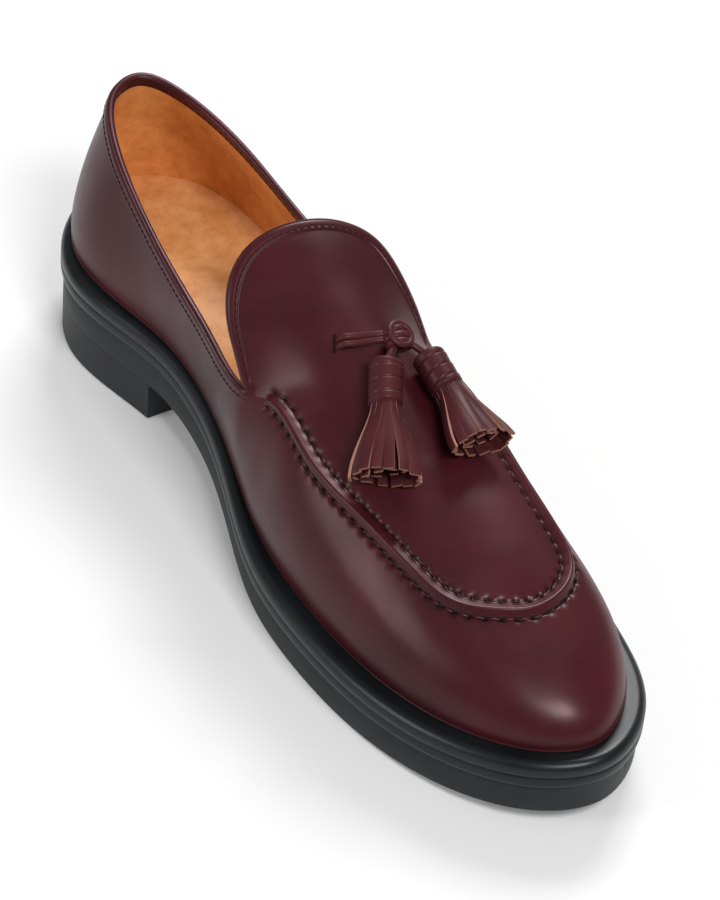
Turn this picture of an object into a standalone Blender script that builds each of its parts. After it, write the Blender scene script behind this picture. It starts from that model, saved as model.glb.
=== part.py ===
"""Tassel loafer, left shoe, standing empty on its sole.

Metres, +Z up. The toe points to -Y and the outer (lateral) side to +X. The origin lies on
the floor, under the middle of the welt's box. Inside the script a place on the shoe is given
as along (from the back of the welt to the toe), across (plus is lateral) and height.
"""

from math import cos, pi, sin

import bmesh
import bpy
import numpy as np

# Driving sizes
SOLE_LENGTH = 0.272
BALL_WIDTH = 0.0876
HEEL_BLOCK = 0.0136
OUTSOLE_THICKNESS = 0.0100
WELT_THICKNESS = 0.0088
TOE_SPRING = 0.0064
HEEL_BREAST = 0.0725
OUTSOLE_INSET = 0.0010
EDGE_CHAMFER = 0.0007
WELT_ROUND = 0.0030
LEDGE = 0.0060
INSOLE_THICKNESS = 0.0030
UPPER_WALL = 0.0020
COLLAR_HEIGHT = 0.0456
INSTEP_HEIGHT = 0.0630
APRON_HALF_WIDTH = 0.0250
BAND_WIDTH = 0.0033
BAND_STEP = 0.0005
LIP_HEIGHT = 0.0015
LIP_WIDTH = 0.0009
LIP_START = 0.0075
LIP_RAMP = 0.0040
RIM_ROUND = 0.0006
TASSEL_HEAD_RADIUS = 0.0049
SKIRT_HALF_WIDTH = 0.0102
SKIRT_HALF_DEPTH = 0.0056
SKIRT_STRIPS = 14
STRIP_THICKNESS = 0.0012
THONG_RADIUS = 0.0011
KNOT_RADIUS = 0.0046
KNOT_LIFT = 0.0048
STRAND_SPACING = 0.0026
GAP = 0.0003

# Where the sole leaves the arch, and where the toe starts to rise, as shares of its length
TREAD_START = 0.60
SPRING_START = 0.72
# The instep lies askew on the sole: a row across it runs this much forward per width
ROW_SKEW = 0.16

# Stations round the shoe, from the back of the heel along the medial side to the tip and home.
# along and across: welt outline, shares of sole length and ball width.
# ledge: how far the welt stands out past the upper, share of LEDGE.
# top along, top across: collar or apron seam above it, same shares.
# rise: collar height above the welt, share of COLLAR_HEIGHT; None is on the apron's surface.
# lean: degrees the wall leans out at its foot. fall: degrees it drops away at its top.
# foot pull, top pull: how far each of the two angles is held, shares of the wall's height.
STATIONS = (
    ("heel back", 0.000, -0.042, 0.57, 0.033, -0.003, 1.000, 6, 77, 0.34, 0.34),
    ("heel corner medial", 0.030, -0.215, 0.42, 0.050, -0.103, 0.963, 4, 75, 0.34, 0.34),
    ("heel medial", 0.120, -0.371, 0.70, 0.134, -0.208, 0.825, 4, 71, 0.34, 0.34),
    ("shank medial", 0.260, -0.314, 0.56, 0.272, -0.265, 0.623, 9, 78, 0.36, 0.34),
    ("waist medial", 0.420, -0.324, 0.43, 0.397, -0.310, 0.647, 12, 80, 0.36, 0.34),
    ("notch medial", 0.490, -0.385, 0.57, 0.480, -0.338, None, 13, 72, 0.36, 0.34),
    ("seam start medial", 0.530, -0.422, 0.70, 0.510, -0.296, None, 13, 60, 0.38, 0.34),
    ("behind ball medial", 0.600, -0.466, 0.90, 0.586, -0.306, None, 13, 51, 0.40, 0.34),
    ("ball medial", 0.680, -0.478, 0.98, 0.657, -0.286, None, 12, 44, 0.40, 0.34),
    ("toe medial", 0.820, -0.427, 1.00, 0.765, -0.224, None, 9, 36, 0.38, 0.32),
    ("toe corner medial", 0.930, -0.288, 1.00, 0.820, -0.143, None, 7, 28, 0.34, 0.30),
    ("tip medial", 0.980, -0.147, 1.00, 0.843, -0.046, None, 6, 25, 0.32, 0.30),
    ("tip", 1.000, 0.040, 1.00, 0.853, 0.051, None, 5, 24, 0.31, 0.30),
    ("tip lateral", 0.980, 0.193, 1.00, 0.847, 0.140, None, 5, 25, 0.32, 0.30),
    ("toe corner lateral", 0.930, 0.337, 1.00, 0.827, 0.220, None, 4, 30, 0.33, 0.30),
    ("toe lateral", 0.820, 0.450, 1.00, 0.778, 0.263, None, 0, 42, 0.33, 0.31),
    ("ball lateral", 0.680, 0.522, 0.98, 0.673, 0.277, None, -4, 50, 0.31, 0.30),
    ("behind ball lateral", 0.600, 0.531, 0.92, 0.592, 0.289, None, -1, 52, 0.32, 0.32),
    ("seam start lateral", 0.565, 0.525, 0.87, 0.544, 0.289, None, 2, 57, 0.34, 0.33),
    ("notch lateral", 0.530, 0.515, 0.80, 0.509, 0.312, None, 5, 64, 0.36, 0.34),
    ("waist lateral", 0.420, 0.453, 0.67, 0.397, 0.303, 0.673, 6, 68, 0.36, 0.34),
    ("shank lateral", 0.260, 0.373, 0.57, 0.272, 0.279, 0.638, 6, 72, 0.36, 0.34),
    ("heel lateral", 0.120, 0.358, 0.57, 0.129, 0.217, 0.842, 4, 70, 0.34, 0.34),
    ("heel corner lateral", 0.030, 0.226, 0.57, 0.053, 0.114, 0.971, 4, 75, 0.34, 0.34),
)
NOTCH_MEDIAL = 5
TIP = 12
NOTCH_LATERAL = 19

# Ridge of apron and tongue, from the tongue's top to past the toe end of the apron.
# along: share of sole length. ridge: height over the welt, share of INSTEP_HEIGHT.
# side fall: drop at APRON_HALF_WIDTH from the ridge, share of INSTEP_HEIGHT.
# ridge across: where the ridge lies, share of ball width.
APRON_SECTIONS = (
    (0.385, 1.006, 0.114, 0.000),
    (0.440, 0.976, 0.158, -0.010),
    (0.490, 0.934, 0.250, -0.012),
    (0.520, 0.902, 0.268, -0.008),
    (0.550, 0.863, 0.215, 0.000),
    (0.600, 0.793, 0.148, 0.002),
    (0.660, 0.706, 0.125, 0.006),
    (0.720, 0.630, 0.117, 0.012),
    (0.790, 0.533, 0.112, 0.024),
    (0.855, 0.408, 0.112, 0.040),
    (0.940, 0.200, 0.112, 0.050),
)

# Free edge of the tongue between the two notches, medial to lateral, shares as above
TONGUE_EDGE = (
    (0.454, -0.329),
    (0.431, -0.318),
    (0.406, -0.273),
    (0.391, -0.193),
    (0.3875, -0.095),
    (0.392, 0.033),
    (0.404, 0.169),
    (0.422, 0.251),
    (0.454, 0.291),
    (0.483, 0.311),
)
TONGUE_TOP = 5.4

# Tassels: head end and tip end, along and across as shares, each with its axis's lift over the
# leather as a share of TASSEL_HEAD_RADIUS
TASSELS = (
    ("tassel_medial", (0.564, 0.006), 1.14, (0.676, -0.171), 1.31),
    ("tassel_lateral", (0.568, 0.130), 1.18, (0.686, 0.130), 1.47),
)
# Tassel sections: share of its length, head size share, skirt size share, depth of the slits
TASSEL_SECTIONS = (
    (0.000, 0.36, 0.0, 0.0),
    (0.035, 0.80, 0.0, 0.0),
    (0.110, 0.96, 0.0, 0.0),
    (0.180, 1.00, 0.0, 0.0),
    (0.260, 0.93, 0.0, 0.0),
    (0.380, 1.00, 0.0, 0.0),
    (0.395, 0.86, 0.0, 0.0),
    (0.430, 0.90, 0.05, 0.10),
    (0.560, 0.60, 0.42, 0.17),
    (0.700, 0.30, 0.72, 0.22),
    (0.850, 0.00, 0.92, 0.26),
    (0.980, 0.00, 1.00, 0.28),
)
SLIT_END = 0.93
# The knot that the tassels hang from, and where its thong goes through the vamp
KNOT = (0.5440, 0.072)
KNOT_SHAPE = (1.00, 0.91, 0.78)
SLIT = (0.5190, -0.087)

# Mesh density
FRONT_COLUMNS = 22
COLLAR_COLUMNS = 40
TONGUE_COLUMNS = 11
WALL_ROWS = 7
APRON_COLUMNS = 9
SOLE_COLUMNS = 38


def cubic_through(knots, rows, places, closed):
    """Smooth cubic curve through the rows of a table, read at the given places."""
    knots = np.asarray(knots, float)
    rows = np.asarray(rows, float)
    if closed:
        rows = np.vstack([rows, rows[:1]])
    step = np.diff(knots)
    slope = np.diff(rows, axis=0) / step[:, None]
    count = len(rows)
    system = np.zeros((count, count))
    right = np.zeros_like(rows)
    for i in range(1, count - 1):
        system[i, i - 1:i + 2] = (step[i - 1], 2 * (step[i - 1] + step[i]), step[i])
        right[i] = 6 * (slope[i] - slope[i - 1])
    if closed:
        system[0, 0] = 1
        system[0, -1] = -1
        system[-1, -1] = 2 * (step[0] + step[-1])
        system[-1, 1] = step[0]
        system[-1, -2] = step[-1]
        right[-1] = 6 * (slope[0] - slope[-1])
    else:
        system[0, 0] = 1
        system[-1, -1] = 1
    bend = np.linalg.solve(system, right)
    if closed:
        places = knots[0] + np.mod(np.asarray(places) - knots[0], knots[-1] - knots[0])
    spot = np.clip(np.searchsorted(knots, places, side="right") - 1, 0, count - 2)
    h = step[spot][:, None]
    after = (np.asarray(places) - knots[spot])[:, None] / h
    before = 1 - after
    straight = before * rows[spot] + after * rows[spot + 1]
    curved = (before ** 3 - before) * bend[spot] + (after ** 3 - after) * bend[spot + 1]
    return straight + curved * h * h / 6


def soft_step(share):
    """0 to 1 with level ends."""
    share = np.clip(share, 0, 1)
    return share * share * (3 - 2 * share)


def sole_bottom(along):
    """Height of the outsole's underside over the floor."""
    along = np.asarray(along, float)
    arch_length = TREAD_START * SOLE_LENGTH - HEEL_BREAST
    arch = HEEL_BLOCK * soft_step((TREAD_START * SOLE_LENGTH - along) / arch_length)
    rise = np.clip((along / SOLE_LENGTH - SPRING_START) / (1 - SPRING_START), 0, None)
    return arch + TOE_SPRING * rise ** 2


def welt_top(along):
    """Height of the welt's flat top, which carries upper and insole."""
    return sole_bottom(along) + OUTSOLE_THICKNESS + WELT_THICKNESS


def apron_height(along, across):
    """Height of the leather over apron and tongue."""
    row = along - ROW_SKEW * across
    table = np.array(APRON_SECTIONS)
    read = cubic_through(table[:, 0] * SOLE_LENGTH, table[:, 1:], np.ravel(row), False)
    ridge, side_fall, ridge_across = read.T
    away = (np.ravel(across) - ridge_across * BALL_WIDTH) / APRON_HALF_WIDTH
    height = welt_top(np.ravel(row)) + INSTEP_HEIGHT * (ridge - side_fall * away ** 2)
    return height.reshape(np.shape(row))


def on_apron(place):
    """The point of the leather above one along and across share, and its normal."""
    along = place[0] * SOLE_LENGTH
    across = place[1] * BALL_WIDTH
    reach = 0.001
    height = float(apron_height(along, across))
    uphill = float(apron_height(along + reach, across)) - height
    sideways = float(apron_height(along, across + reach)) - height
    normal = np.array((-uphill / reach, -sideways / reach, 1.0))
    return np.array((along, across, height)), normal / np.linalg.norm(normal)


def station_table():
    """Stations in metres: knots along the outline, then one row of values for each."""
    rows = []
    for _, along, across, ledge, top_along, top_across, rise, lean, fall, foot, top in STATIONS:
        place = (along * SOLE_LENGTH, across * BALL_WIDTH)
        above = (top_along * SOLE_LENGTH, top_across * BALL_WIDTH)
        if rise is None:
            height = float(apron_height(*above)) - float(welt_top(above[0]))
        else:
            height = rise * COLLAR_HEIGHT
        rows.append((*place, ledge * LEDGE, *above, height, lean * pi / 180, fall * pi / 180, foot, top))
    rows = np.array(rows)
    chords = np.linalg.norm(np.diff(np.vstack([rows, rows[:1]])[:, :2], axis=0), axis=1)
    return np.concatenate([[0], np.cumsum(chords)]), rows


KNOTS, TABLE = station_table()


def read_stations(places):
    """Table values, and the outline's outward direction, at places along the outline."""
    values = cubic_through(KNOTS, TABLE, places, True)
    reach = 0.0005
    ahead = cubic_through(KNOTS, TABLE[:, :2], np.asarray(places) + reach, True)
    behind = cubic_through(KNOTS, TABLE[:, :2], np.asarray(places) - reach, True)
    run = ahead - behind
    outward = np.stack([run[:, 1], -run[:, 0]], axis=1)
    outward /= np.linalg.norm(outward, axis=1)[:, None]
    return values, outward


def outline(places, inset):
    """Points of the welt outline, drawn in by inset."""
    values, outward = read_stations(places)
    return values[:, :2] - outward * np.reshape(inset, (-1, 1))


CENTRE_ACROSS = float(np.mean([f(outline(np.linspace(0, KNOTS[-1], 400), 0.0)[:, 1])
                               for f in (np.min, np.max)]))


def to_world(points):
    """Along, across, height to x, y, z."""
    points = np.asarray(points)
    return np.stack([points[:, 1] - CENTRE_ACROSS, SOLE_LENGTH / 2 - points[:, 0],
                     points[:, 2]], axis=1)


def make_material(name, colour, roughness):
    """Plain Principled material."""
    material = bpy.data.materials.new(name)
    material.use_nodes = True
    shader = material.node_tree.nodes["Principled BSDF"]
    shader.inputs["Base Color"].default_value = (*colour, 1)
    shader.inputs["Roughness"].default_value = roughness
    shader.inputs["Metallic"].default_value = 0
    return material


def make_object(name, points, faces, material, crease_degrees=40):
    """One closed mesh object with its normals outward."""
    mesh = bpy.data.meshes.new(name)
    mesh.from_pydata([tuple(p) for p in to_world(points)], [], [tuple(f) for f in faces])
    work = bmesh.new()
    work.from_mesh(mesh)
    bmesh.ops.recalc_face_normals(work, faces=work.faces)
    if work.calc_volume(signed=True) < 0:
        bmesh.ops.reverse_faces(work, faces=work.faces)
    work.to_mesh(mesh)
    work.free()
    mesh.shade_smooth()
    mesh.set_sharp_from_angle(angle=crease_degrees * pi / 180)
    mesh.materials.append(material)
    thing = bpy.data.objects.new(name, mesh)
    bpy.context.collection.objects.link(thing)
    return thing


def stacked_plate(name, rings, material):
    """Closed plate from rings of equal count, whose first and middle points are its two ends."""
    count = len(rings[0])
    half = count // 2
    points = np.vstack(rings)
    faces = []
    for level in range(len(rings) - 1):
        base = level * count
        for i in range(count):
            j = (i + 1) % count
            faces.append((base + i, base + j, base + count + j, base + count + i))
    for base, flip in ((0, True), ((len(rings) - 1) * count, False)):
        for i in range(half):
            cell = [base + i, base + i + 1, base + (count - i - 1) % count]
            if i > 0:
                cell.append(base + count - i)
            cell = list(dict.fromkeys(cell))
            faces.append(cell[::-1] if flip else cell)
    return make_object(name, points, faces, material)


def loop_places():
    """Places all round the outline, as many on each side."""
    medial = np.linspace(KNOTS[0], KNOTS[TIP], SOLE_COLUMNS + 1)[:-1]
    lateral = np.linspace(KNOTS[TIP], KNOTS[-1], SOLE_COLUMNS + 1)[:-1]
    return np.concatenate([medial, lateral])


def ring_over(plan, base_height, rise):
    """A plan outline lifted by rise over a height that depends on along."""
    return np.column_stack([plan, base_height(plan[:, 0]) + rise])


def make_outsole(material):
    places = loop_places()
    top = OUTSOLE_THICKNESS - GAP
    steps = ((OUTSOLE_INSET + EDGE_CHAMFER, 0.0), (OUTSOLE_INSET, EDGE_CHAMFER), (OUTSOLE_INSET, top))
    rings = [ring_over(outline(places, inset), sole_bottom, rise) for inset, rise in steps]
    return stacked_plate("outsole", rings, material)


def make_welt(material):
    places = loop_places()
    steps = [(OUTSOLE_INSET / 2, 0.0), (0.0, OUTSOLE_INSET / 2)]
    for turn in (0, 30, 60, 90):
        angle = turn * pi / 180
        steps.append((WELT_ROUND * (1 - cos(angle)), WELT_THICKNESS - WELT_ROUND * (1 - sin(angle))))
    rings = [ring_over(outline(places, inset), lambda a: sole_bottom(a) + OUTSOLE_THICKNESS, rise)
             for inset, rise in steps]
    return stacked_plate("welt", rings, material)


def make_heel(material):
    """Heel block: the outsole's own outline behind the breast."""
    fine = np.linspace(0, KNOTS[TIP], 800)
    medial_end = np.interp(HEEL_BREAST, outline(fine, OUTSOLE_INSET)[:, 0], fine)
    fine = np.linspace(KNOTS[-1], KNOTS[TIP], 800)
    lateral_end = np.interp(HEEL_BREAST, outline(fine, OUTSOLE_INSET)[:, 0], fine) - KNOTS[-1]
    places = np.linspace(lateral_end, medial_end, 33)
    steps = ((EDGE_CHAMFER, 0.0), (0.0, EDGE_CHAMFER), (0.0, HEEL_BLOCK - GAP))
    rings = []
    for inset, height in steps:
        plan = outline(places, OUTSOLE_INSET + inset)
        plan[:, 0] = np.minimum(plan[:, 0], HEEL_BREAST - inset)
        plan[0, 0] = HEEL_BREAST - inset
        plan[-1, 0] = HEEL_BREAST - inset
        middle = (plan[:1] + plan[-1:]) / 2
        back = len(plan) // 2
        plan = np.vstack([plan[back:], middle, plan[:back]])
        rings.append(np.column_stack([plan, np.full(len(plan), height)]))
    return stacked_plate("heel", rings, material)


def make_insole(material):
    """Sock inside the upper, its edge a hair's breadth from the wall."""
    places = loop_places()
    values, _ = read_stations(places)
    inset = values[:, 2] + UPPER_WALL + 2 * GAP
    top = GAP + INSOLE_THICKNESS
    steps = ((0.0, GAP), (0.0, top - EDGE_CHAMFER), (EDGE_CHAMFER, top))
    rings = [ring_over(outline(places, inset + more), welt_top, rise) for more, rise in steps]
    return stacked_plate("insole", rings, material)


def wall_column(values, outward, top_height, spacing):
    """One rib of the wall, foot to top, its rows set by distances from the top."""
    foot_plan = values[:2] - outward * values[2]
    foot = np.array((*foot_plan, welt_top(foot_plan[0]) + GAP))
    top = np.array((*values[3:5], top_height))
    lean, fall, foot_pull, top_pull = values[6:10]
    reach = np.linalg.norm(top - foot)
    side = np.array((*outward, 0.0))
    up = np.array((0.0, 0.0, 1.0))
    low = foot + foot_pull * reach * (sin(lean) * side + cos(lean) * up)
    high = top + top_pull * reach * (cos(fall) * side - sin(fall) * up)
    t = np.linspace(0, 1, 41)[:, None]
    curve = (1 - t) ** 3 * foot + 3 * (1 - t) ** 2 * t * low + 3 * (1 - t) * t * t * high + t ** 3 * top
    length = np.concatenate([[0], np.cumsum(np.linalg.norm(np.diff(curve, axis=0), axis=1))])
    near_top = length[-1] - np.array(spacing)[::-1]
    wanted = np.concatenate([np.linspace(0, near_top[0], WALL_ROWS + 1)[:-1], near_top])
    return np.stack([np.interp(wanted, length, curve[:, k]) for k in range(3)], axis=1)


# Rows beside a free edge (its folded band) and beside the apron seam (its standing lip):
# distance from the edge, and how far the leather stands out there
BAND_ROWS = ((0.0, BAND_STEP), (BAND_WIDTH / 2, BAND_STEP), (BAND_WIDTH, BAND_STEP),
             (BAND_WIDTH + GAP, 0.0))
LIP_ROWS = ((0.0, LIP_HEIGHT), (LIP_WIDTH, LIP_HEIGHT * 0.75), (2 * LIP_WIDTH, -GAP),
            (4 * LIP_WIDTH, 0.0))


def edge_rows(seam_share):
    """Rows beside a free edge (None), or beside the seam with its lip raised by a share."""
    if seam_share is None:
        return np.array(BAND_ROWS)
    lip = np.array(LIP_ROWS)
    return np.column_stack([lip[:, 0], lip[:, 1] * seam_share])


def lip_shares(seam):
    """Share of the lip's height along the seam, which starts a little way past each notch."""
    steps = np.linalg.norm(np.diff(seam, axis=0), axis=1)
    run = np.concatenate([[0], np.cumsum(steps)])
    from_end = np.minimum(run, run[-1] - run)
    shares = list(np.clip((from_end - LIP_START) / LIP_RAMP, 0, 1))
    return [None] + shares[1:-1] + [None]


def front_places():
    """Places of the columns from notch to tip to notch."""
    medial = np.linspace(KNOTS[NOTCH_MEDIAL], KNOTS[TIP], FRONT_COLUMNS + 1)
    lateral = np.linspace(KNOTS[TIP], KNOTS[NOTCH_LATERAL], FRONT_COLUMNS + 1)
    return np.concatenate([medial, lateral[1:]])


def tongue_edge():
    """Plan points of the tongue's free edge, medial notch to lateral notch."""
    scale = np.array((SOLE_LENGTH, BALL_WIDTH))
    ends = TABLE[[NOTCH_MEDIAL, NOTCH_LATERAL], 3:5]
    points = np.vstack([ends[:1], np.array(TONGUE_EDGE) * scale, ends[1:]])
    knots = np.concatenate([[0], np.cumsum(np.linalg.norm(np.diff(points, axis=0), axis=1))])
    top = np.interp(TONGUE_TOP, range(len(knots)), knots)
    places = np.concatenate([np.linspace(0, top, TONGUE_COLUMNS + 1),
                             np.linspace(top, knots[-1], TONGUE_COLUMNS + 1)[1:]])
    return cubic_through(knots, points, places, False)


def make_upper(material):
    """The whole upper: wall ribs, apron and tongue in one skin, given its thickness."""
    points = []
    lifts = []
    faces = []

    def add(place, lift):
        points.append(place)
        lifts.append(lift)
        return len(points) - 1

    # Wall: columns from the medial notch round the tip to the lateral notch, then the heel
    front = front_places()
    period = KNOTS[-1]
    collar = np.linspace(KNOTS[NOTCH_LATERAL], period + KNOTS[NOTCH_MEDIAL], COLLAR_COLUMNS + 1)[1:-1]
    values, outward = read_stations(np.concatenate([front, collar]))
    last_front = len(front) - 1
    shares = lip_shares(values[:last_front + 1, 3:5])
    columns = []
    for i, (row, side) in enumerate(zip(values, outward)):
        on_seam = i <= last_front
        rows = edge_rows(shares[i] if on_seam else None)
        height = apron_height(row[3], row[4]) if on_seam else welt_top(row[3]) + row[5]
        rib = wall_column(row, side, float(height), rows[:, 0])
        raised = np.concatenate([np.zeros(WALL_ROWS), rows[::-1, 1]])
        columns.append([add(p, r) for p, r in zip(rib, raised)])
    for left, right in zip(columns, columns[1:] + columns[:1]):
        for k in range(len(left) - 1):
            faces.append((left[k], right[k], right[k + 1], left[k + 1]))

    # Apron and tongue: the loop of their edge, from the tip to the medial notch, over the
    # tongue's top to the lateral notch and back to the tip
    medial_seam = [columns[i][-1] for i in range(FRONT_COLUMNS, -1, -1)]
    lateral_seam = [columns[i][-1] for i in range(last_front, FRONT_COLUMNS, -1)]
    edge = tongue_edge()
    free_edge = [add((*p, float(apron_height(*p))), BAND_STEP) for p in edge[1:-1]]
    loop = medial_seam + free_edge + lateral_seam
    loop_shares = shares[FRONT_COLUMNS::-1] + [None] * len(free_edge) + shares[:FRONT_COLUMNS:-1]
    plan = np.array([points[i][:2] for i in loop])
    run = np.roll(plan, -1, axis=0) - np.roll(plan, 1, axis=0)
    inward = np.stack([-run[:, 1], run[:, 0]], axis=1)
    inward /= np.linalg.norm(inward, axis=1)[:, None]
    if np.sum(inward * (plan.mean(axis=0) - plan)) < 0:
        inward = -inward
    rings = [loop]
    probe = plan + inward * BAND_WIDTH
    climb = (apron_height(probe[:, 0], probe[:, 1]) - apron_height(plan[:, 0], plan[:, 1])) / BAND_WIDTH
    flatten = 1 / np.sqrt(1 + climb ** 2)
    for level in (1, 2, 3):
        ring = []
        for p, n, f, share in zip(plan, inward, flatten, loop_shares):
            distance, lift = edge_rows(share)[level]
            spot = p + n * distance * f
            ring.append(add((*spot, float(apron_height(*spot))), lift))
        rings.append(ring)
    count = len(loop)
    for outer, inner in zip(rings, rings[1:]):
        for i in range(count):
            j = (i + 1) % count
            faces.append((outer[i], outer[j], inner[j], inner[i]))
    last = rings[-1]
    half = count // 2
    spans = [[last[0]] * (APRON_COLUMNS + 1)]
    for i in range(1, half):
        a = np.array(points[last[i]][:2])
        b = np.array(points[last[count - i]][:2])
        span = [last[i]]
        for k in range(1, APRON_COLUMNS):
            spot = a + (b - a) * k / APRON_COLUMNS
            span.append(add((*spot, float(apron_height(*spot))), 0.0))
        spans.append(span + [last[count - i]])
    spans.append([last[half]] * (APRON_COLUMNS + 1))
    for near, far in zip(spans, spans[1:]):
        for k in range(APRON_COLUMNS):
            cell = list(dict.fromkeys((near[k], near[k + 1], far[k + 1], far[k])))
            faces.append(cell)

    # Skin normals, all outward
    skin = bmesh.new()
    verts = [skin.verts.new(p) for p in points]
    for face in faces:
        skin.faces.new([verts[i] for i in face])
    bmesh.ops.recalc_face_normals(skin, faces=skin.faces)
    skin.normal_update()
    normals = np.array([v.normal for v in verts])
    faces = [[v.index for v in f.verts] for f in index_faces(skin)]
    skin.free()
    points = np.array(points)
    foot = [column[0] for column in columns]
    centre = points[foot].mean(axis=0)
    if np.sum(normals[foot] * (points[foot] - centre)) < 0:
        normals = -normals
        faces = [face[::-1] for face in faces]

    # Outer and inner skin, the rim at the foot and the rounded rim of the opening
    outer_skin = points + normals * np.array(lifts)[:, None]
    inner_skin = points - normals * UPPER_WALL
    outer_skin[foot, 2] = points[foot, 2]
    inner_skin[foot, 2] = points[foot, 2]
    size = len(points)
    solid = [list(face) for face in faces] + [[i + size for i in face[::-1]] for face in faces]
    opening = [column[-1] for column in columns[last_front:]] + [columns[0][-1]] + free_edge
    below = [column[-2] for column in columns[last_front:]] + [columns[0][-2]]
    below += [rings[1][loop.index(i)] for i in free_edge]
    crest = []
    for edge_point, next_point in zip(opening, below):
        up = points[edge_point] - points[next_point]
        up /= np.linalg.norm(up)
        crest.append((outer_skin[edge_point] + inner_skin[edge_point]) / 2 + up * RIM_ROUND)
    crest_start = 2 * size
    count = len(opening)
    for i in range(count):
        j = (i + 1) % count
        a, b = opening[i], opening[j]
        solid.append((a, b, crest_start + j, crest_start + i))
        solid.append((crest_start + i, crest_start + j, b + size, a + size))
    for a, b in zip(foot, foot[1:] + foot[:1]):
        solid.append((b, a, a + size, b + size))
    return make_object("upper", np.vstack([outer_skin, inner_skin, crest]), solid, material, 60)


def index_faces(work):
    """Faces of a bmesh with their vertex numbers set."""
    work.verts.index_update()
    return work.faces


def tassel_frame(head, tip, share, lifts):
    """Point on the tassel's axis, with directions across it and away from the leather."""
    place = np.array(head) + (np.array(tip) - np.array(head)) * share
    ground, normal = on_apron(place)
    lift = TASSEL_HEAD_RADIUS * (lifts[0] + (lifts[1] - lifts[0]) * share)
    return ground + normal * lift, normal


def make_tassel(name, head, head_lift, tip, tip_lift, material):
    """Wound head, and a skirt of cut strips fused to one core."""
    lifts = (head_lift, tip_lift)
    around = 4 * SKIRT_STRIPS
    points = []
    faces = []

    def ring(share, size_across, size_up, slit_depth, groove_share=None):
        centre, normal = tassel_frame(head, tip, share, lifts)
        ahead, _ = tassel_frame(head, tip, share + 0.01, lifts)
        axis = (ahead - centre) / np.linalg.norm(ahead - centre)
        side = np.cross(axis, normal)
        side /= np.linalg.norm(side)
        up = np.cross(side, axis)
        start = len(points)
        for k in range(around):
            strip, corner = divmod(k, 4)
            turn = (strip + (0.06, 0.14, 0.86, 0.94)[corner]) * 2 * pi / SKIRT_STRIPS
            in_slit = corner in (0, 3)
            deep = 1 - slit_depth if in_slit else 1 + 0.05 * slit_depth * sin(5 * strip)
            spot = centre
            if in_slit and groove_share is not None:
                spot, _ = tassel_frame(head, tip, groove_share, lifts)
            points.append(spot + side * cos(turn) * size_across * deep + up * sin(turn) * size_up * deep)
        return start

    starts = []
    for share, head_share, skirt_share, slit_depth in TASSEL_SECTIONS:
        head_size = head_share * TASSEL_HEAD_RADIUS
        across = max(head_size + skirt_share * (SKIRT_HALF_WIDTH - head_size), head_size)
        upward = max(head_size + skirt_share * (SKIRT_HALF_DEPTH - head_size), head_size)
        groove = None
        if share == TASSEL_SECTIONS[-1][0]:
            groove = SLIT_END
        starts.append(ring(share, across, upward, slit_depth, groove))
    tip_share = TASSEL_SECTIONS[-1][0]
    inner = 1 - 1.6 * STRIP_THICKNESS / SKIRT_HALF_DEPTH
    starts.append(ring(tip_share, SKIRT_HALF_WIDTH * (inner + 0.1), SKIRT_HALF_DEPTH * inner, 0.05, SLIT_END))
    starts.append(ring(SLIT_END - 0.08, SKIRT_HALF_WIDTH * 0.55, SKIRT_HALF_DEPTH * 0.45, 0.0))
    for base, following in zip(starts, starts[1:]):
        for k in range(around):
            j = (k + 1) % around
            faces.append((base + k, base + j, following + j, following + k))
    for share, base, flip in ((-0.012, starts[0], True), (SLIT_END - 0.09, starts[-1], False)):
        centre, _ = tassel_frame(head, tip, share, lifts)
        points.append(centre)
        hub = len(points) - 1
        for k in range(around):
            j = (k + 1) % around
            faces.append((base + j, base + k, hub) if flip else (base + k, base + j, hub))
    return make_object(name, np.array(points), faces, material, 35)


def tube(name, route, radius, material, closed=False):
    """Round strand along a route, its ends capped unless it closes on itself."""
    route = to_world(route)
    around = 8
    count = len(route)
    if closed:
        run = np.roll(route, -1, axis=0) - np.roll(route, 1, axis=0)
    else:
        run = np.gradient(route, axis=0)
    run /= np.linalg.norm(run, axis=1)[:, None]
    flat = np.cross(route[count // 3] - route[0], route[-1] - route[0])
    hint = flat if closed else np.array((0.0, 0.0, 1.0))
    work = bmesh.new()
    rings = []
    for place, ahead in zip(route, run):
        side = np.cross(ahead, hint)
        side /= np.linalg.norm(side)
        up = np.cross(side, ahead)
        rings.append([work.verts.new(place + radius * (side * cos(turn) + up * sin(turn)))
                      for turn in np.arange(around) * 2 * pi / around])
    pairs = zip(rings, rings[1:] + rings[:1]) if closed else zip(rings, rings[1:])
    for near, far in pairs:
        for k in range(around):
            j = (k + 1) % around
            work.faces.new((near[k], near[j], far[j], far[k]))
    if not closed:
        work.faces.new(rings[0])
        work.faces.new(rings[-1])
    bmesh.ops.recalc_face_normals(work, faces=work.faces)
    mesh = bpy.data.meshes.new(name)
    work.to_mesh(mesh)
    work.free()
    mesh.shade_smooth()
    mesh.materials.append(material)
    thing = bpy.data.objects.new(name, mesh)
    bpy.context.collection.objects.link(thing)
    return thing


def over_leather(start, end, start_lift, end_lift, count):
    """Route from one place to another, held over the leather by a lift that changes evenly."""
    route = []
    for share in np.linspace(0, 1, count):
        place = np.array(start) + (np.array(end) - np.array(start)) * share
        ground, normal = on_apron(place)
        route.append(ground + normal * (start_lift + (end_lift - start_lift) * share))
    return np.array(route)


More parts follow.
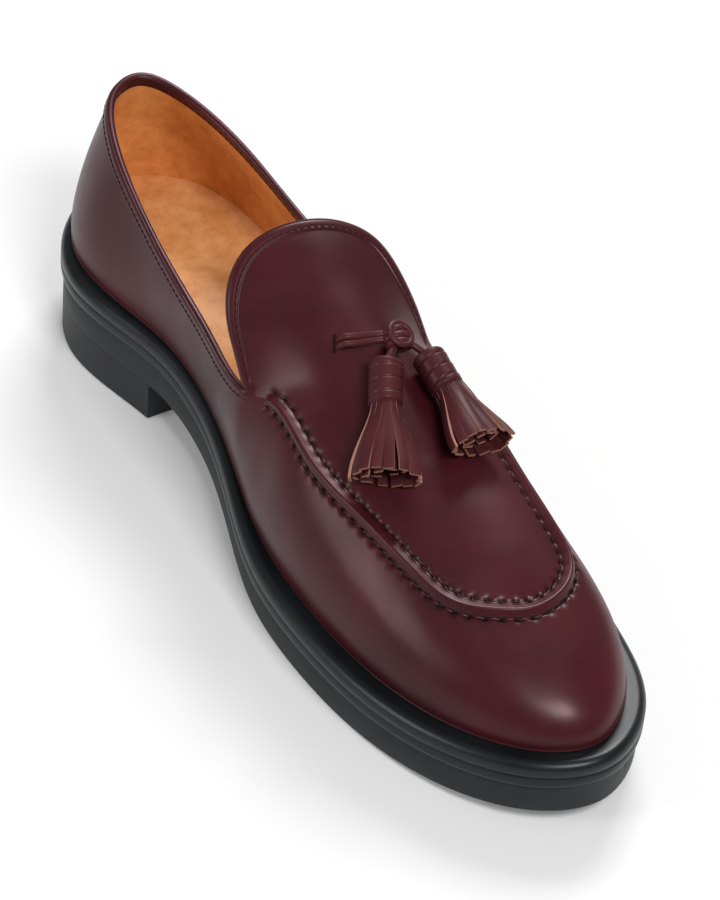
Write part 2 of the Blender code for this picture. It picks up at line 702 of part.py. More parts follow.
def make_thong(material):
    """Knot, its wrap, the two strands from the slit and the two ends that carry the tassels."""
    ground, normal = on_apron(KNOT)
    centre = ground + normal * KNOT_LIFT
    work = bmesh.new()
    bmesh.ops.create_uvsphere(work, u_segments=14, v_segments=9, radius=1.0)
    mesh = bpy.data.meshes.new("tassel_thong")
    work.to_mesh(mesh)
    work.free()
    place = to_world(centre[None, :])[0]
    for vertex in mesh.vertices:
        vertex.co = place + np.array(vertex.co) * KNOT_RADIUS * np.array(KNOT_SHAPE)
    mesh.shade_smooth()
    mesh.materials.append(material)
    knot = bpy.data.objects.new("tassel_thong", mesh)
    bpy.context.collection.objects.link(knot)

    rest = THONG_RADIUS + GAP
    routes = []
    spread = STRAND_SPACING / 2
    for sign in (-1, 1):
        slit = (SLIT[0] + sign * spread / SOLE_LENGTH, SLIT[1])
        into = (KNOT[0] + sign * spread * 0.5 / SOLE_LENGTH, KNOT[1])
        routes.append(over_leather(slit, into, rest, KNOT_LIFT, 6))
    for _, head, head_lift, tip, tip_lift in TASSELS:
        cap, _ = tassel_frame(head, tip, -0.012, (head_lift, tip_lift))
        heading = cap - centre
        reach = np.linalg.norm(heading) - 3 * GAP
        routes.append(np.array([centre + heading / np.linalg.norm(heading) * reach * s for s in (0, 0.5, 1)]))
    for number, route in enumerate(routes):
        strand = tube(f"thong_strand_{number}", route, THONG_RADIUS * (1 if number < 2 else 1.05), material)
        join_to(knot, strand)
    turn = np.linspace(0, 2 * pi, 17)[:-1]
    axis = on_apron(TASSELS[0][3])[0] - on_apron(SLIT)[0]
    axis /= np.linalg.norm(axis)
    side = np.cross(axis, normal)
    side /= np.linalg.norm(side)
    lift = np.cross(side, axis)
    wrap_route = [centre + KNOT_RADIUS * 0.93 * (side * cos(t) + lift * sin(t) * KNOT_SHAPE[2])
                  for t in turn]
    join_to(knot, tube("thong_wrap", np.array(wrap_route), THONG_RADIUS, material, closed=True))
    return knot


def join_to(body, tool):
    """Fuse a helper shape into a body and keep the helper out of the model."""
    tool.hide_render = True
    tool.display_type = "WIRE"
    fused = body.modifiers.new(tool.name, "BOOLEAN")
    fused.operation = "UNION"
    fused.solver = "EXACT"
    fused.object = tool


def main():
    for thing in list(bpy.data.objects):
        bpy.data.objects.remove(thing, do_unlink=True)
    burgundy = make_material("burgundy_calf", (0.060, 0.012, 0.018), 0.38)
    tassel_leather = make_material("burgundy_strap_leather", (0.075, 0.016, 0.022), 0.42)
    tan = make_material("tan_lining_leather", (0.42, 0.17, 0.045), 0.55)
    welt_rubber = make_material("welt_rubber", (0.010, 0.011, 0.015), 0.40)
    sole_rubber = make_material("sole_rubber", (0.022, 0.022, 0.024), 0.55)
    make_outsole(sole_rubber)
    make_heel(sole_rubber)
    make_welt(welt_rubber)
    make_insole(tan)
    make_upper(burgundy)
    make_thong(tassel_leather)
    for name, head, head_lift, tip, tip_lift in TASSELS:
        make_tassel(name, head, head_lift, tip, tip_lift, tassel_leather)


main()
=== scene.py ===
from math import cos, pi, sin, radians

import bpy
import numpy as np
from mathutils import Matrix, Vector


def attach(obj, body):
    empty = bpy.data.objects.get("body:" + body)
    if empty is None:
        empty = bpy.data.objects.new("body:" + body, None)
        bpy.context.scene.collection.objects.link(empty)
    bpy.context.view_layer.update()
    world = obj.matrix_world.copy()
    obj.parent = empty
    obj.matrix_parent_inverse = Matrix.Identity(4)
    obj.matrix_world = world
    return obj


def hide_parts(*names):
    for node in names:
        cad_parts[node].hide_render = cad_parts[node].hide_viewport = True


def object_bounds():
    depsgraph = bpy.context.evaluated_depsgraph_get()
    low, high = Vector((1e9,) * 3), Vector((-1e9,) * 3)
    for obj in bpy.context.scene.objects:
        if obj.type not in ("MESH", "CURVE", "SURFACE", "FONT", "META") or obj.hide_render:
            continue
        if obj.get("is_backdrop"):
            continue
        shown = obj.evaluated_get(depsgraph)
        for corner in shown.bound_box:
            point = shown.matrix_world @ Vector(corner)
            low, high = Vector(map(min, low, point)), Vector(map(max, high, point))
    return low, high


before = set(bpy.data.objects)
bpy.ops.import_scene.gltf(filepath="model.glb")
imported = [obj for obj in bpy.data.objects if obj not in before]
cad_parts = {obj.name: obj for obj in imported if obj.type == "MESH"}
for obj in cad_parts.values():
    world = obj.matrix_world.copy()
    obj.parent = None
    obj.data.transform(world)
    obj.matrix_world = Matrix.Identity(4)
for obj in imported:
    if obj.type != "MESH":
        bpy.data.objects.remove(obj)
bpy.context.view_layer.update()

# Camera: the photo's own viewpoint, found by fitting the shoe's outlines, and framed round the
# shoe. It looks down at the toe and the inner side, and the picture leans.
PICTURE_LEAN = 5.6
eye = Vector((-0.4598, -0.6535, 0.7471))
aim = Vector((0.0075, 0.0020, 0.0225))
camera = bpy.data.objects.new("camera", bpy.data.cameras.new("camera"))
bpy.context.scene.collection.objects.link(camera)
forward = (aim - eye).normalized()
level = forward.cross(Vector((0, 0, 1))).normalized()
right = Matrix.Rotation(radians(-PICTURE_LEAN), 3, forward) @ level
up = right.cross(forward)
camera.matrix_world = Matrix.Translation(eye) @ Matrix((right, up, -forward)).transposed().to_4x4()
camera.data.lens = 148
bpy.context.scene.camera = camera
bpy.context.scene.view_settings.view_transform = "Standard"


# Light: a bright white studio. One broad soft box over the toe gives the long highlights on
# toe and tongue, a second lights the medial side, a third the back, and the room fills the rest.
def soft_box(name, place, target, size, watts):
    lamp = bpy.data.lights.new(name, "AREA")
    lamp.shape = "RECTANGLE"
    lamp.size, lamp.size_y = size
    lamp.energy = watts
    thing = bpy.data.objects.new(name, lamp)
    bpy.context.scene.collection.objects.link(thing)
    thing.location = place
    thing.rotation_euler = (Vector(target) - Vector(place)).to_track_quat("-Z", "Y").to_euler()


soft_box("key_box", (-0.10, -0.80, 1.10), (0.0, -0.05, 0.03), (0.50, 0.34), 13)
soft_box("side_box", (-1.05, 0.20, 0.55), (0.0, 0.0, 0.04), (0.30, 0.60), 4.5)
soft_box("rear_box", (0.70, 0.70, 1.05), (0.0, 0.0, 0.03), (0.60, 0.45), 17)
world = bpy.data.worlds.new("white_studio")
world.use_nodes = True
world.node_tree.nodes["Background"].inputs["Color"].default_value = (1, 1, 1, 1)
world.node_tree.nodes["Background"].inputs["Strength"].default_value = 0.28
bpy.context.scene.world = world


# Floor: a wide white sheet of paper, where the shoe casts a soft shadow. It isn't part of the
# shoe, so it is staged. A little light of its own keeps the paper white, as in a studio photo.
def linear(code):
    """sRGB hex code to the linear colour that the shader wants."""
    parts = [int(code[i:i + 2], 16) / 255 for i in (1, 3, 5)]
    return (*[c / 12.92 if c <= 0.04045 else ((c + 0.055) / 1.055) ** 2.4 for c in parts], 1.0)


def new_material(name, **values):
    """A material with these values on the shader's own sockets."""
    material = bpy.data.materials.new(name)
    material.use_nodes = True
    shader = material.node_tree.nodes["Principled BSDF"]
    for key, value in values.items():
        shader.inputs[key.replace("_", " ")].default_value = value
    return material, material.node_tree, shader


floor_mesh = bpy.data.meshes.new("studio_floor")
floor_mesh.from_pydata([(-6, -6, 0), (6, -6, 0), (6, 6, 0), (-6, 6, 0)], [], [(0, 1, 2, 3)])
floor = bpy.data.objects.new("studio_floor", floor_mesh)
bpy.context.scene.collection.objects.link(floor)
white_paper = new_material("white_paper_floor", Base_Color=linear("#cdcdcd"), Roughness=0.9,
                           Specular_IOR_Level=0.1, Emission_Color=linear("#ffffff"),
                           Emission_Strength=0.13)[0]
floor_mesh.materials.append(white_paper)
floor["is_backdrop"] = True

# Last: the wooden form that the shoe is made on. Stations round it, the same as the CAD part's,
# give every outline of sole and upper, and are read here at fine steps. Places are along (from
# the back of the welt), across (plus is lateral) and height, in metres; GAP is the clearance.
SOLE_LENGTH = 0.272
BALL_WIDTH = 0.0876
HEEL_BLOCK = 0.0136
OUTSOLE_THICKNESS = 0.0100
WELT_THICKNESS = 0.0088
TOE_SPRING = 0.0064
HEEL_BREAST = 0.0725
TREAD_START = 0.60
SPRING_START = 0.72
OUTSOLE_INSET = 0.0010
LEDGE = 0.0060
COLLAR_HEIGHT = 0.0456
INSTEP_HEIGHT = 0.0630
APRON_HALF_WIDTH = 0.0250
ROW_SKEW = 0.16
GAP = 0.0003
# name, along, across, ledge, top along, top across, rise (None on the apron), lean and fall in
# degrees, foot pull, top pull; the rest are shares of the sizes above
STATIONS = (
    ("heel back", 0.000, -0.042, 0.57, 0.033, -0.003, 1.000, 6, 77, 0.34, 0.34),
    ("heel corner medial", 0.030, -0.215, 0.42, 0.050, -0.103, 0.963, 4, 75, 0.34, 0.34),
    ("heel medial", 0.120, -0.371, 0.70, 0.134, -0.208, 0.825, 4, 71, 0.34, 0.34),
    ("shank medial", 0.260, -0.314, 0.56, 0.272, -0.265, 0.623, 9, 78, 0.36, 0.34),
    ("waist medial", 0.420, -0.324, 0.43, 0.397, -0.310, 0.647, 12, 80, 0.36, 0.34),
    ("notch medial", 0.490, -0.385, 0.57, 0.480, -0.338, None, 13, 72, 0.36, 0.34),
    ("seam start medial", 0.530, -0.422, 0.70, 0.510, -0.296, None, 13, 60, 0.38, 0.34),
    ("behind ball medial", 0.600, -0.466, 0.90, 0.586, -0.306, None, 13, 51, 0.40, 0.34),
    ("ball medial", 0.680, -0.478, 0.98, 0.657, -0.286, None, 12, 44, 0.40, 0.34),
    ("toe medial", 0.820, -0.427, 1.00, 0.765, -0.224, None, 9, 36, 0.38, 0.32),
    ("toe corner medial", 0.930, -0.288, 1.00, 0.820, -0.143, None, 7, 28, 0.34, 0.30),
    ("tip medial", 0.980, -0.147, 1.00, 0.843, -0.046, None, 6, 25, 0.32, 0.30),
    ("tip", 1.000, 0.040, 1.00, 0.853, 0.051, None, 5, 24, 0.31, 0.30),
    ("tip lateral", 0.980, 0.193, 1.00, 0.847, 0.140, None, 5, 25, 0.32, 0.30),
    ("toe corner lateral", 0.930, 0.337, 1.00, 0.827, 0.220, None, 4, 30, 0.33, 0.30),
    ("toe lateral", 0.820, 0.450, 1.00, 0.778, 0.263, None, 0, 42, 0.33, 0.31),
    ("ball lateral", 0.680, 0.522, 0.98, 0.673, 0.277, None, -4, 50, 0.31, 0.30),
    ("behind ball lateral", 0.600, 0.531, 0.92, 0.592, 0.289, None, -1, 52, 0.32, 0.32),
    ("seam start lateral", 0.565, 0.525, 0.87, 0.544, 0.289, None, 2, 57, 0.34, 0.33),
    ("notch lateral", 0.530, 0.515, 0.80, 0.509, 0.312, None, 5, 64, 0.36, 0.34),
    ("waist lateral", 0.420, 0.453, 0.67, 0.397, 0.303, 0.673, 6, 68, 0.36, 0.34),
    ("shank lateral", 0.260, 0.373, 0.57, 0.272, 0.279, 0.638, 6, 72, 0.36, 0.34),
    ("heel lateral", 0.120, 0.358, 0.57, 0.129, 0.217, 0.842, 4, 70, 0.34, 0.34),
    ("heel corner lateral", 0.030, 0.226, 0.57, 0.053, 0.114, 0.971, 4, 75, 0.34, 0.34),
)
STATION_NAMES = [row[0] for row in STATIONS]
NOTCH_MEDIAL = STATION_NAMES.index("notch medial")
TIP = STATION_NAMES.index("tip")
NOTCH_LATERAL = STATION_NAMES.index("notch lateral")
# along, ridge height, side fall, ridge across, as shares
APRON_SECTIONS = (
    (0.385, 1.006, 0.114, 0.000),
    (0.440, 0.976, 0.158, -0.010),
    (0.490, 0.934, 0.250, -0.012),
    (0.520, 0.902, 0.268, -0.008),
    (0.550, 0.863, 0.215, 0.000),
    (0.600, 0.793, 0.148, 0.002),
    (0.660, 0.706, 0.125, 0.006),
    (0.720, 0.630, 0.117, 0.012),
    (0.790, 0.533, 0.112, 0.024),
    (0.855, 0.408, 0.112, 0.040),
    (0.940, 0.200, 0.112, 0.050),
)


def cubic_through(knots, rows, places, closed):
    """Smooth cubic curve through the rows of a table, read at the given places."""
    knots = np.asarray(knots, float)
    rows = np.asarray(rows, float)
    if closed:
        rows = np.vstack([rows, rows[:1]])
    step = np.diff(knots)
    slope = np.diff(rows, axis=0) / step[:, None]
    count = len(rows)
    system = np.zeros((count, count))
    right_side = np.zeros_like(rows)
    for i in range(1, count - 1):
        system[i, i - 1:i + 2] = (step[i - 1], 2 * (step[i - 1] + step[i]), step[i])
        right_side[i] = 6 * (slope[i] - slope[i - 1])
    if closed:
        system[0, 0] = 1
        system[0, -1] = -1
        system[-1, -1] = 2 * (step[0] + step[-1])
        system[-1, 1] = step[0]
        system[-1, -2] = step[-1]
        right_side[-1] = 6 * (slope[0] - slope[-1])
    else:
        system[0, 0] = 1
        system[-1, -1] = 1
    bend = np.linalg.solve(system, right_side)
    if closed:
        places = knots[0] + np.mod(np.asarray(places) - knots[0], knots[-1] - knots[0])
    spot = np.clip(np.searchsorted(knots, places, side="right") - 1, 0, count - 2)
    h = step[spot][:, None]
    after = (np.asarray(places) - knots[spot])[:, None] / h
    before = 1 - after
    straight = before * rows[spot] + after * rows[spot + 1]
    curved = (before ** 3 - before) * bend[spot] + (after ** 3 - after) * bend[spot + 1]
    return straight + curved * h * h / 6


def soft_step(share):
    share = np.clip(share, 0, 1)
    return share * share * (3 - 2 * share)


def sole_bottom(along):
    along = np.asarray(along, float)
    arch_length = TREAD_START * SOLE_LENGTH - HEEL_BREAST
    arch = HEEL_BLOCK * soft_step((TREAD_START * SOLE_LENGTH - along) / arch_length)
    rise = np.clip((along / SOLE_LENGTH - SPRING_START) / (1 - SPRING_START), 0, None)
    return arch + TOE_SPRING * rise ** 2


def welt_top(along):
    return sole_bottom(along) + OUTSOLE_THICKNESS + WELT_THICKNESS


def apron_height(along, across):
    row = along - ROW_SKEW * across
    table = np.array(APRON_SECTIONS)
    read = cubic_through(table[:, 0] * SOLE_LENGTH, table[:, 1:], np.ravel(row), False)
    ridge, side_fall, ridge_across = read.T
    away = (np.ravel(across) - ridge_across * BALL_WIDTH) / APRON_HALF_WIDTH
    height = welt_top(np.ravel(row)) + INSTEP_HEIGHT * (ridge - side_fall * away ** 2)
    return height.reshape(np.shape(row))


def on_apron(place):
    """The point of the leather above one along and across share, and its normal."""
    along = place[0] * SOLE_LENGTH
    across = place[1] * BALL_WIDTH
    height = float(apron_height(along, across))
    uphill = float(apron_height(along + 0.001, across)) - height
    sideways = float(apron_height(along, across + 0.001)) - height
    normal = np.array((-uphill / 0.001, -sideways / 0.001, 1.0))
    return np.array((along, across, height)), normal / np.linalg.norm(normal)


station_rows = []
for _, along, across, ledge, top_along, top_across, rise, lean, fall, foot, top in STATIONS:
    above = (top_along * SOLE_LENGTH, top_across * BALL_WIDTH)
    if rise is None:
        height = float(apron_height(*above)) - float(welt_top(above[0]))
    else:
        height = rise * COLLAR_HEIGHT
    station_rows.append((along * SOLE_LENGTH, across * BALL_WIDTH, ledge * LEDGE, *above, height,
                         radians(lean), radians(fall), foot, top))
TABLE = np.array(station_rows)
chords = np.linalg.norm(np.diff(np.vstack([TABLE, TABLE[:1]])[:, :2], axis=0), axis=1)
KNOTS = np.concatenate([[0], np.cumsum(chords)])


def read_stations(places):
    values = cubic_through(KNOTS, TABLE, places, True)
    ahead = cubic_through(KNOTS, TABLE[:, :2], np.asarray(places) + 0.0005, True)
    behind = cubic_through(KNOTS, TABLE[:, :2], np.asarray(places) - 0.0005, True)
    run = ahead - behind
    outward = np.stack([run[:, 1], -run[:, 0]], axis=1)
    return values, outward / np.linalg.norm(outward, axis=1)[:, None]


def outline(places, inset):
    values, outward = read_stations(places)
    return values[:, :2] - outward * np.reshape(inset, (-1, 1))


edge_across = outline(np.linspace(0, KNOTS[-1], 400), 0.0)[:, 1]
CENTRE_ACROSS = (edge_across.min() + edge_across.max()) / 2


def to_world(points):
    points = np.asarray(points, float)
    return np.stack([points[:, 1] - CENTRE_ACROSS, SOLE_LENGTH / 2 - points[:, 0], points[:, 2]], axis=1)


# Sole rubber: moulded solid rubber, never glossy. The outsole and heel are greyer and matt, with
# a faint mould texture and a ribbed tread underneath; the welt is smoother and blacker, satin.
def node(tree, kind, settings=None, **links):
    """Adds one node: its settings, and its inputs as a value or another node's output."""
    made = tree.nodes.new(kind)
    for key, value in (settings or {}).items():
        setattr(made, key, value)
    for key, value in links.items():
        numbered = key[0] == "i" and key[1:].isdigit()
        socket = made.inputs[int(key[1:]) if numbered else key.replace("_", " ")]
        if isinstance(value, bpy.types.NodeSocket):
            tree.links.new(value, socket)
        else:
            socket.default_value = value
    return made


def ramp(tree, factor, low, high, start=0.0, end=1.0):
    """Two colours blended between two values of a factor."""
    made = node(tree, "ShaderNodeValToRGB", i0=factor)
    first, last = made.color_ramp.elements
    first.position, first.color = start, low
    last.position, last.color = end, high
    return made.outputs[0]


TREAD_PITCH = 0.005


def rubber(name, base, dusty, roughness, grain, tread):
    material, tree, shader = new_material(name, Specular_IOR_Level=0.30)
    place = node(tree, "ShaderNodeTexCoord").outputs["Object"]
    cloud = node(tree, "ShaderNodeTexNoise", Vector=place, Scale=38.0, Detail=4.0, Roughness=0.6)
    speck = node(tree, "ShaderNodeTexNoise", Vector=place, Scale=2600.0, Detail=2.0)
    colour = ramp(tree, cloud.outputs["Fac"], linear(base), linear(dusty), 0.35, 0.75)
    tree.links.new(colour, shader.inputs["Base Color"])
    gloss = node(tree, "ShaderNodeMapRange", Value=cloud.outputs["Fac"], To_Min=roughness - 0.05,
                 To_Max=roughness + 0.08)
    tree.links.new(gloss.outputs["Result"], shader.inputs["Roughness"])
    height = speck.outputs["Fac"]
    if tread:
        split = node(tree, "ShaderNodeSeparateXYZ", Vector=place)
        phase = node(tree, "ShaderNodeMath", {"operation": "MULTIPLY"}, i0=split.outputs[1],
                     i1=2 * pi / TREAD_PITCH)
        ribs = node(tree, "ShaderNodeMath", {"operation": "SINE"}, i0=phase.outputs[0])
        turned = node(tree, "ShaderNodeNewGeometry").outputs["Normal"]
        facing = node(tree, "ShaderNodeSeparateXYZ", Vector=turned)
        under = node(tree, "ShaderNodeMapRange", Value=facing.outputs[2], From_Min=-0.9, From_Max=-0.99)
        groove = node(tree, "ShaderNodeMath", {"operation": "MULTIPLY"}, i0=ribs.outputs[0],
                      i1=under.outputs[0])
        deep = node(tree, "ShaderNodeMath", {"operation": "MULTIPLY_ADD"}, i0=groove.outputs[0],
                    i1=6.0, i2=height)
        height = deep.outputs[0]
    bump = node(tree, "ShaderNodeBump", Height=height, Strength=grain, Distance=0.00008)
    tree.links.new(bump.outputs["Normal"], shader.inputs["Normal"])
    return material


welt_rubber = rubber("black_welt_rubber", "#0b0e11", "#13171b", 0.34, 0.25, False)
sole_rubber = rubber("grey_black_sole_rubber", "#17181a", "#242528", 0.52, 0.45, True)


# Outsole: one moulded plate of grey-black rubber under the whole shoe, arched between heel and
# tread, with a small bevel round the tread. It is cemented under the welt. Like the other sole
# pieces it is built of rings, each an outline of the last with an inset and a height.
def piece(name, points, faces, materials, picks=None, stands_for=(), sharp=None, painted_shade=None):
    """A shown mesh from points in shoe places, keeping only the points that its faces use.

    picks is each face's material, sharp an edge angle in degrees, the last a share of painted shade per
    point.
    """
    used = np.unique(np.concatenate([np.asarray(f) for f in faces]))
    renumber = np.full(len(points), -1)
    renumber[used] = np.arange(len(used))
    mesh = bpy.data.meshes.new(name)
    corners = to_world(np.asarray(points)[used]).tolist()
    mesh.from_pydata(corners, [], [renumber[list(f)].tolist() for f in faces])
    for material in materials:
        mesh.materials.append(material)
    if picks is not None:
        mesh.polygons.foreach_set("material_index", np.asarray(picks, np.int32))
    if painted_shade is not None:
        held = mesh.attributes.new("seam_painted_shade", "FLOAT", "POINT")
        held.data.foreach_set("value", np.asarray(painted_shade, np.float32)[used])
    mesh.shade_smooth()
    if sharp:
        mesh.set_sharp_from_angle(angle=radians(sharp))
    mesh.update()
    thing = bpy.data.objects.new(name, mesh)
    bpy.context.scene.collection.objects.link(thing)
    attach(thing, "root")
    if stands_for:
        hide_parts(*stands_for)


def loop_places(columns):
    medial = np.linspace(KNOTS[0], KNOTS[TIP], columns + 1)[:-1]
    lateral = np.linspace(KNOTS[TIP], KNOTS[-1], columns + 1)[:-1]
    return np.concatenate([medial, lateral])


def plate(rings):
    """Points and faces of a closed plate from rings of equal count."""
    count = len(rings[0])
    half = count // 2
    faces = []
    for level in range(len(rings) - 1):
        base = level * count
        for i in range(count):
            j = (i + 1) % count
            faces.append((base + j, base + i, base + count + i, base + count + j))
    for base, flip in ((0, False), ((len(rings) - 1) * count, True)):
        for i in range(half):
            cell = [base + i, base + i + 1, base + (count - i - 1) % count]
            if i > 0:
                cell.append(base + count - i)
            cell = list(dict.fromkeys(cell))
            faces.append(cell[::-1] if flip else cell)
    return np.vstack(rings), faces


def ring_over(plan, base_height, rise):
    return np.column_stack([plan, base_height(plan[:, 0]) + rise])


fine_loop = loop_places(170)
top = OUTSOLE_THICKNESS - GAP
tread_edge = 0.00008 + 0.0007 * soft_step((outline(fine_loop, 0.0)[:, 0] - HEEL_BREAST) / 0.004)
side_steps = [(OUTSOLE_INSET + tread_edge * (1 - sin(a)), tread_edge * (1 - cos(a)))
              for a in np.radians((0, 30, 60, 90))]
side_steps += [(OUTSOLE_INSET, top - 0.0004), (OUTSOLE_INSET + 0.0003, top)]
rings = [ring_over(outline(fine_loop, i), sole_bottom, r) for i, r in side_steps]
points, faces = plate(rings)
piece("outsole_rubber", points, faces, [sole_rubber], stands_for=["outsole"], sharp=40)


# Welt: midsole and welt moulded in one band of black satin rubber, with a groove low on its wall
# and a rounded top edge, so it catches one long highlight. Upper and sock stand on it.
def outsole_top(along):
    return sole_bottom(along) + OUTSOLE_THICKNESS


WELT_ROUND = 0.0030
welt_side = [(OUTSOLE_INSET / 2, 0.0), (0.0001, 0.0006), (0.0, 0.0012), (0.0, 0.0034),
             (0.00035, 0.0039), (0.0, 0.0044)]
welt_side += [(WELT_ROUND * (1 - cos(a)), WELT_THICKNESS - WELT_ROUND * (1 - sin(a)))
              for a in np.radians(range(0, 91, 10))]
points, faces = plate([ring_over(outline(fine_loop, i), outsole_top, r) for i, r in welt_side])
piece("welt_rubber_band", points, faces, [welt_rubber], stands_for=["welt"], sharp=40)

# Heel block: the outsole's rubber moulded as a block with a straight breast, cemented under the
# rear of the outsole so that both share one wall. Its lower edge is a little rounded by wear.
scan = np.linspace(0, KNOTS[TIP], 2000)
medial_end = np.interp(HEEL_BREAST, outline(scan, OUTSOLE_INSET)[:, 0], scan)
scan = np.linspace(KNOTS[-1], KNOTS[TIP], 2000)
lateral_end = np.interp(HEEL_BREAST, outline(scan, OUTSOLE_INSET)[:, 0], scan) - KNOTS[-1]
rings = []
for inset, height in ((0.0010, 0.0), (0.0004, 0.0002), (0.0001, 0.0006), (0.0, 0.0010),
                      (0.0, HEEL_BLOCK - 0.0010), (0.0, HEEL_BLOCK - 0.00004)):
    plan = outline(np.linspace(lateral_end, medial_end, 160), OUTSOLE_INSET + inset)
    plan[:, 0] = np.minimum(plan[:, 0], HEEL_BREAST - inset)
    plan[[0, -1], 0] = HEEL_BREAST - inset
    plan = np.vstack([plan[80:], plan[:80]])
    rings.append(np.column_stack([plan, np.full(len(plan), height)]))
points, faces = plate(rings)
piece("heel_block", points, faces, [sole_rubber], stands_for=["heel"], sharp=40)


# Tan leather: sock and lining are vegetable-tanned calf without a finish coat. It is a mottled
# orange tan with darker patches, nearly matt, with very fine pores. Noise scales are for patches
# of about 40 and 6 mm, and the pores are drawn at 0.6 mm, coarser than real ones.
def tan_leather(name, pale, deep):
    material, tree, shader = new_material(name, Roughness=0.52, Specular_IOR_Level=0.35)
    place = node(tree, "ShaderNodeTexCoord").outputs["Object"]
    cloud = node(tree, "ShaderNodeTexNoise", Vector=place, Scale=26.0, Detail=5.0, Roughness=0.62)
    mottle = node(tree, "ShaderNodeTexNoise", Vector=place, Scale=170.0, Detail=5.0, Roughness=0.7)
    pores = node(tree, "ShaderNodeTexVoronoi", Vector=place, Scale=1700.0)
    broad = node(tree, "ShaderNodeMath", {"operation": "MULTIPLY"}, i0=cloud.outputs["Fac"], i1=0.55)
    both = node(tree, "ShaderNodeMath", {"operation": "MULTIPLY_ADD"}, i0=mottle.outputs["Fac"],
                i1=0.45, i2=broad.outputs[0])
    colour = ramp(tree, both.outputs[0], linear(deep), linear(pale), 0.40, 0.62)
    tree.links.new(colour, shader.inputs["Base Color"])
    bump = node(tree, "ShaderNodeBump", Height=pores.outputs["Distance"], Strength=0.25, Distance=0.00006)
    tree.links.new(bump.outputs["Normal"], shader.inputs["Normal"])
    return material


tan_sock = tan_leather("tan_sock_leather", "#edb47c", "#cf8d4e")
tan_lining = tan_leather("tan_lining_leather", "#e09b58", "#bd7233")

# Sock: the tan leather insole cover, cut to the last and cemented in. Its edge fits tight against
# the lining all round, and its surface is plain.
UPPER_WALL = 0.0020
values, _ = read_stations(fine_loop)
rings = []
for more, rise in ((0.0, GAP), (-0.0008, 0.0018), (-0.0013, 0.0030), (-0.0009, GAP + 0.0030)):
    inset = values[:, 2] + UPPER_WALL + 2 * GAP + more
    rings.append(ring_over(outline(fine_loop, inset), welt_top, rise))
points, faces = plate(rings)
piece("insole_sock", points, faces, [tan_sock], stands_for=["insole"], sharp=50)


# Burgundy calf: aniline-dyed box calf, plated and polished, for upper and straps. It is nearly
# black in the folds and greyish pink where the soft boxes reflect. The grain is drawn at 1 mm,
# coarser than real calf. Where the skin carries the seam attribute, the colour is mixed towards near black:
# painted shade in the seam's gathers, valley and grooves.
def burgundy_calf(name, dark, mid, roughness, coat):
    material, tree, shader = new_material(name, Coat_Weight=coat, Coat_Roughness=0.25,
                                          Specular_IOR_Level=0.22,
                                          Specular_Tint=linear("#ffd4d5"),
                                          Coat_Tint=linear("#fff0f0"))
    place = node(tree, "ShaderNodeTexCoord").outputs["Object"]
    cloud = node(tree, "ShaderNodeTexNoise", Vector=place, Scale=24.0, Detail=5.0, Roughness=0.6)
    polish = node(tree, "ShaderNodeTexNoise", Vector=place, Scale=70.0, Detail=4.0)
    grain = node(tree, "ShaderNodeTexVoronoi", {"feature": "DISTANCE_TO_EDGE"}, Vector=place, Scale=950.0)
    fine = node(tree, "ShaderNodeTexNoise", Vector=place, Scale=1500.0, Detail=3.0)
    hide = ramp(tree, cloud.outputs["Fac"], linear(dark), linear(mid), 0.30, 0.72)
    # The seam attribute mixes the base colour towards near black #090304: painted shade in the seam's
    # gathers, stitched valley and grooves.
    painted_shade = node(tree, "ShaderNodeAttribute", {"attribute_name": "seam_painted_shade"})
    painted_shade_mix = node(tree, "ShaderNodeMix", {"data_type": "RGBA"}, i0=painted_shade.outputs["Fac"], i6=hide,
                i7=linear("#090304"))
    tree.links.new(painted_shade_mix.outputs[2], shader.inputs["Base Color"])
    gloss = node(tree, "ShaderNodeMapRange", Value=polish.outputs["Fac"], From_Min=0.3, From_Max=0.7,
                 To_Min=roughness - 0.04, To_Max=roughness + 0.07)
    tree.links.new(gloss.outputs["Result"], shader.inputs["Roughness"])
    cells = node(tree, "ShaderNodeMath", {"operation": "MINIMUM"}, i0=grain.outputs["Distance"], i1=0.12)
    height = node(tree, "ShaderNodeMath", {"operation": "MULTIPLY_ADD"}, i0=fine.outputs["Fac"],
                  i1=0.5, i2=cells.outputs[0])
    bump = node(tree, "ShaderNodeBump", Height=height.outputs[0], Strength=0.16, Distance=0.00010)
    tree.links.new(bump.outputs["Normal"], shader.inputs["Normal"])
    return material


calf = burgundy_calf("burgundy_box_calf", "#2c0b11", "#42141b", 0.36, 0.12)

# Upper: one piece of burgundy calf, lasted wet over the form, with a folded binding round collar
# and tongue, a raised hand-sewn seam round the apron that gathers the wall, and a back seam. Ribs
# run up from the welt to the edge or the seam, and rings and spans fill the apron and tongue.
BAND_WIDTH = 0.0033
BAND_STEP = 0.0005
LIP_HEIGHT = 0.0015
LIP_WIDTH = 0.0009
LIP_START = 0.0085
LIP_RAMP = 0.0020
SEAM_PITCH = 0.0042
# The tongue's free edge from notch to notch: along, across, as shares
TONGUE_EDGE = (
    (0.454, -0.329),
    (0.431, -0.318),
    (0.406, -0.273),
    (0.391, -0.193),
    (0.3875, -0.095),
    (0.392, 0.033),
    (0.404, 0.169),
    (0.422, 0.251),
    (0.454, 0.291),
    (0.483, 0.311),
)
# Where the tongue's top lies, counted in points of its edge
TONGUE_TOP = 5.4
FRONT_COLUMNS = 200
COLLAR_COLUMNS = 170
TONGUE_COLUMNS = 46
WALL_ROWS = 34
APRON_COLUMNS = 44
# Distances from an edge or the seam at which the skin has rows, metres
ROWS = np.array((0.0, 0.25, 0.5, 0.75, 1.0, 1.3, 1.6, 1.9, 2.2, 2.6, 2.95, 3.2, 3.35, 3.5, 3.8, 4.4,
                 5.2)) * 0.001
STITCH_ROW = 9


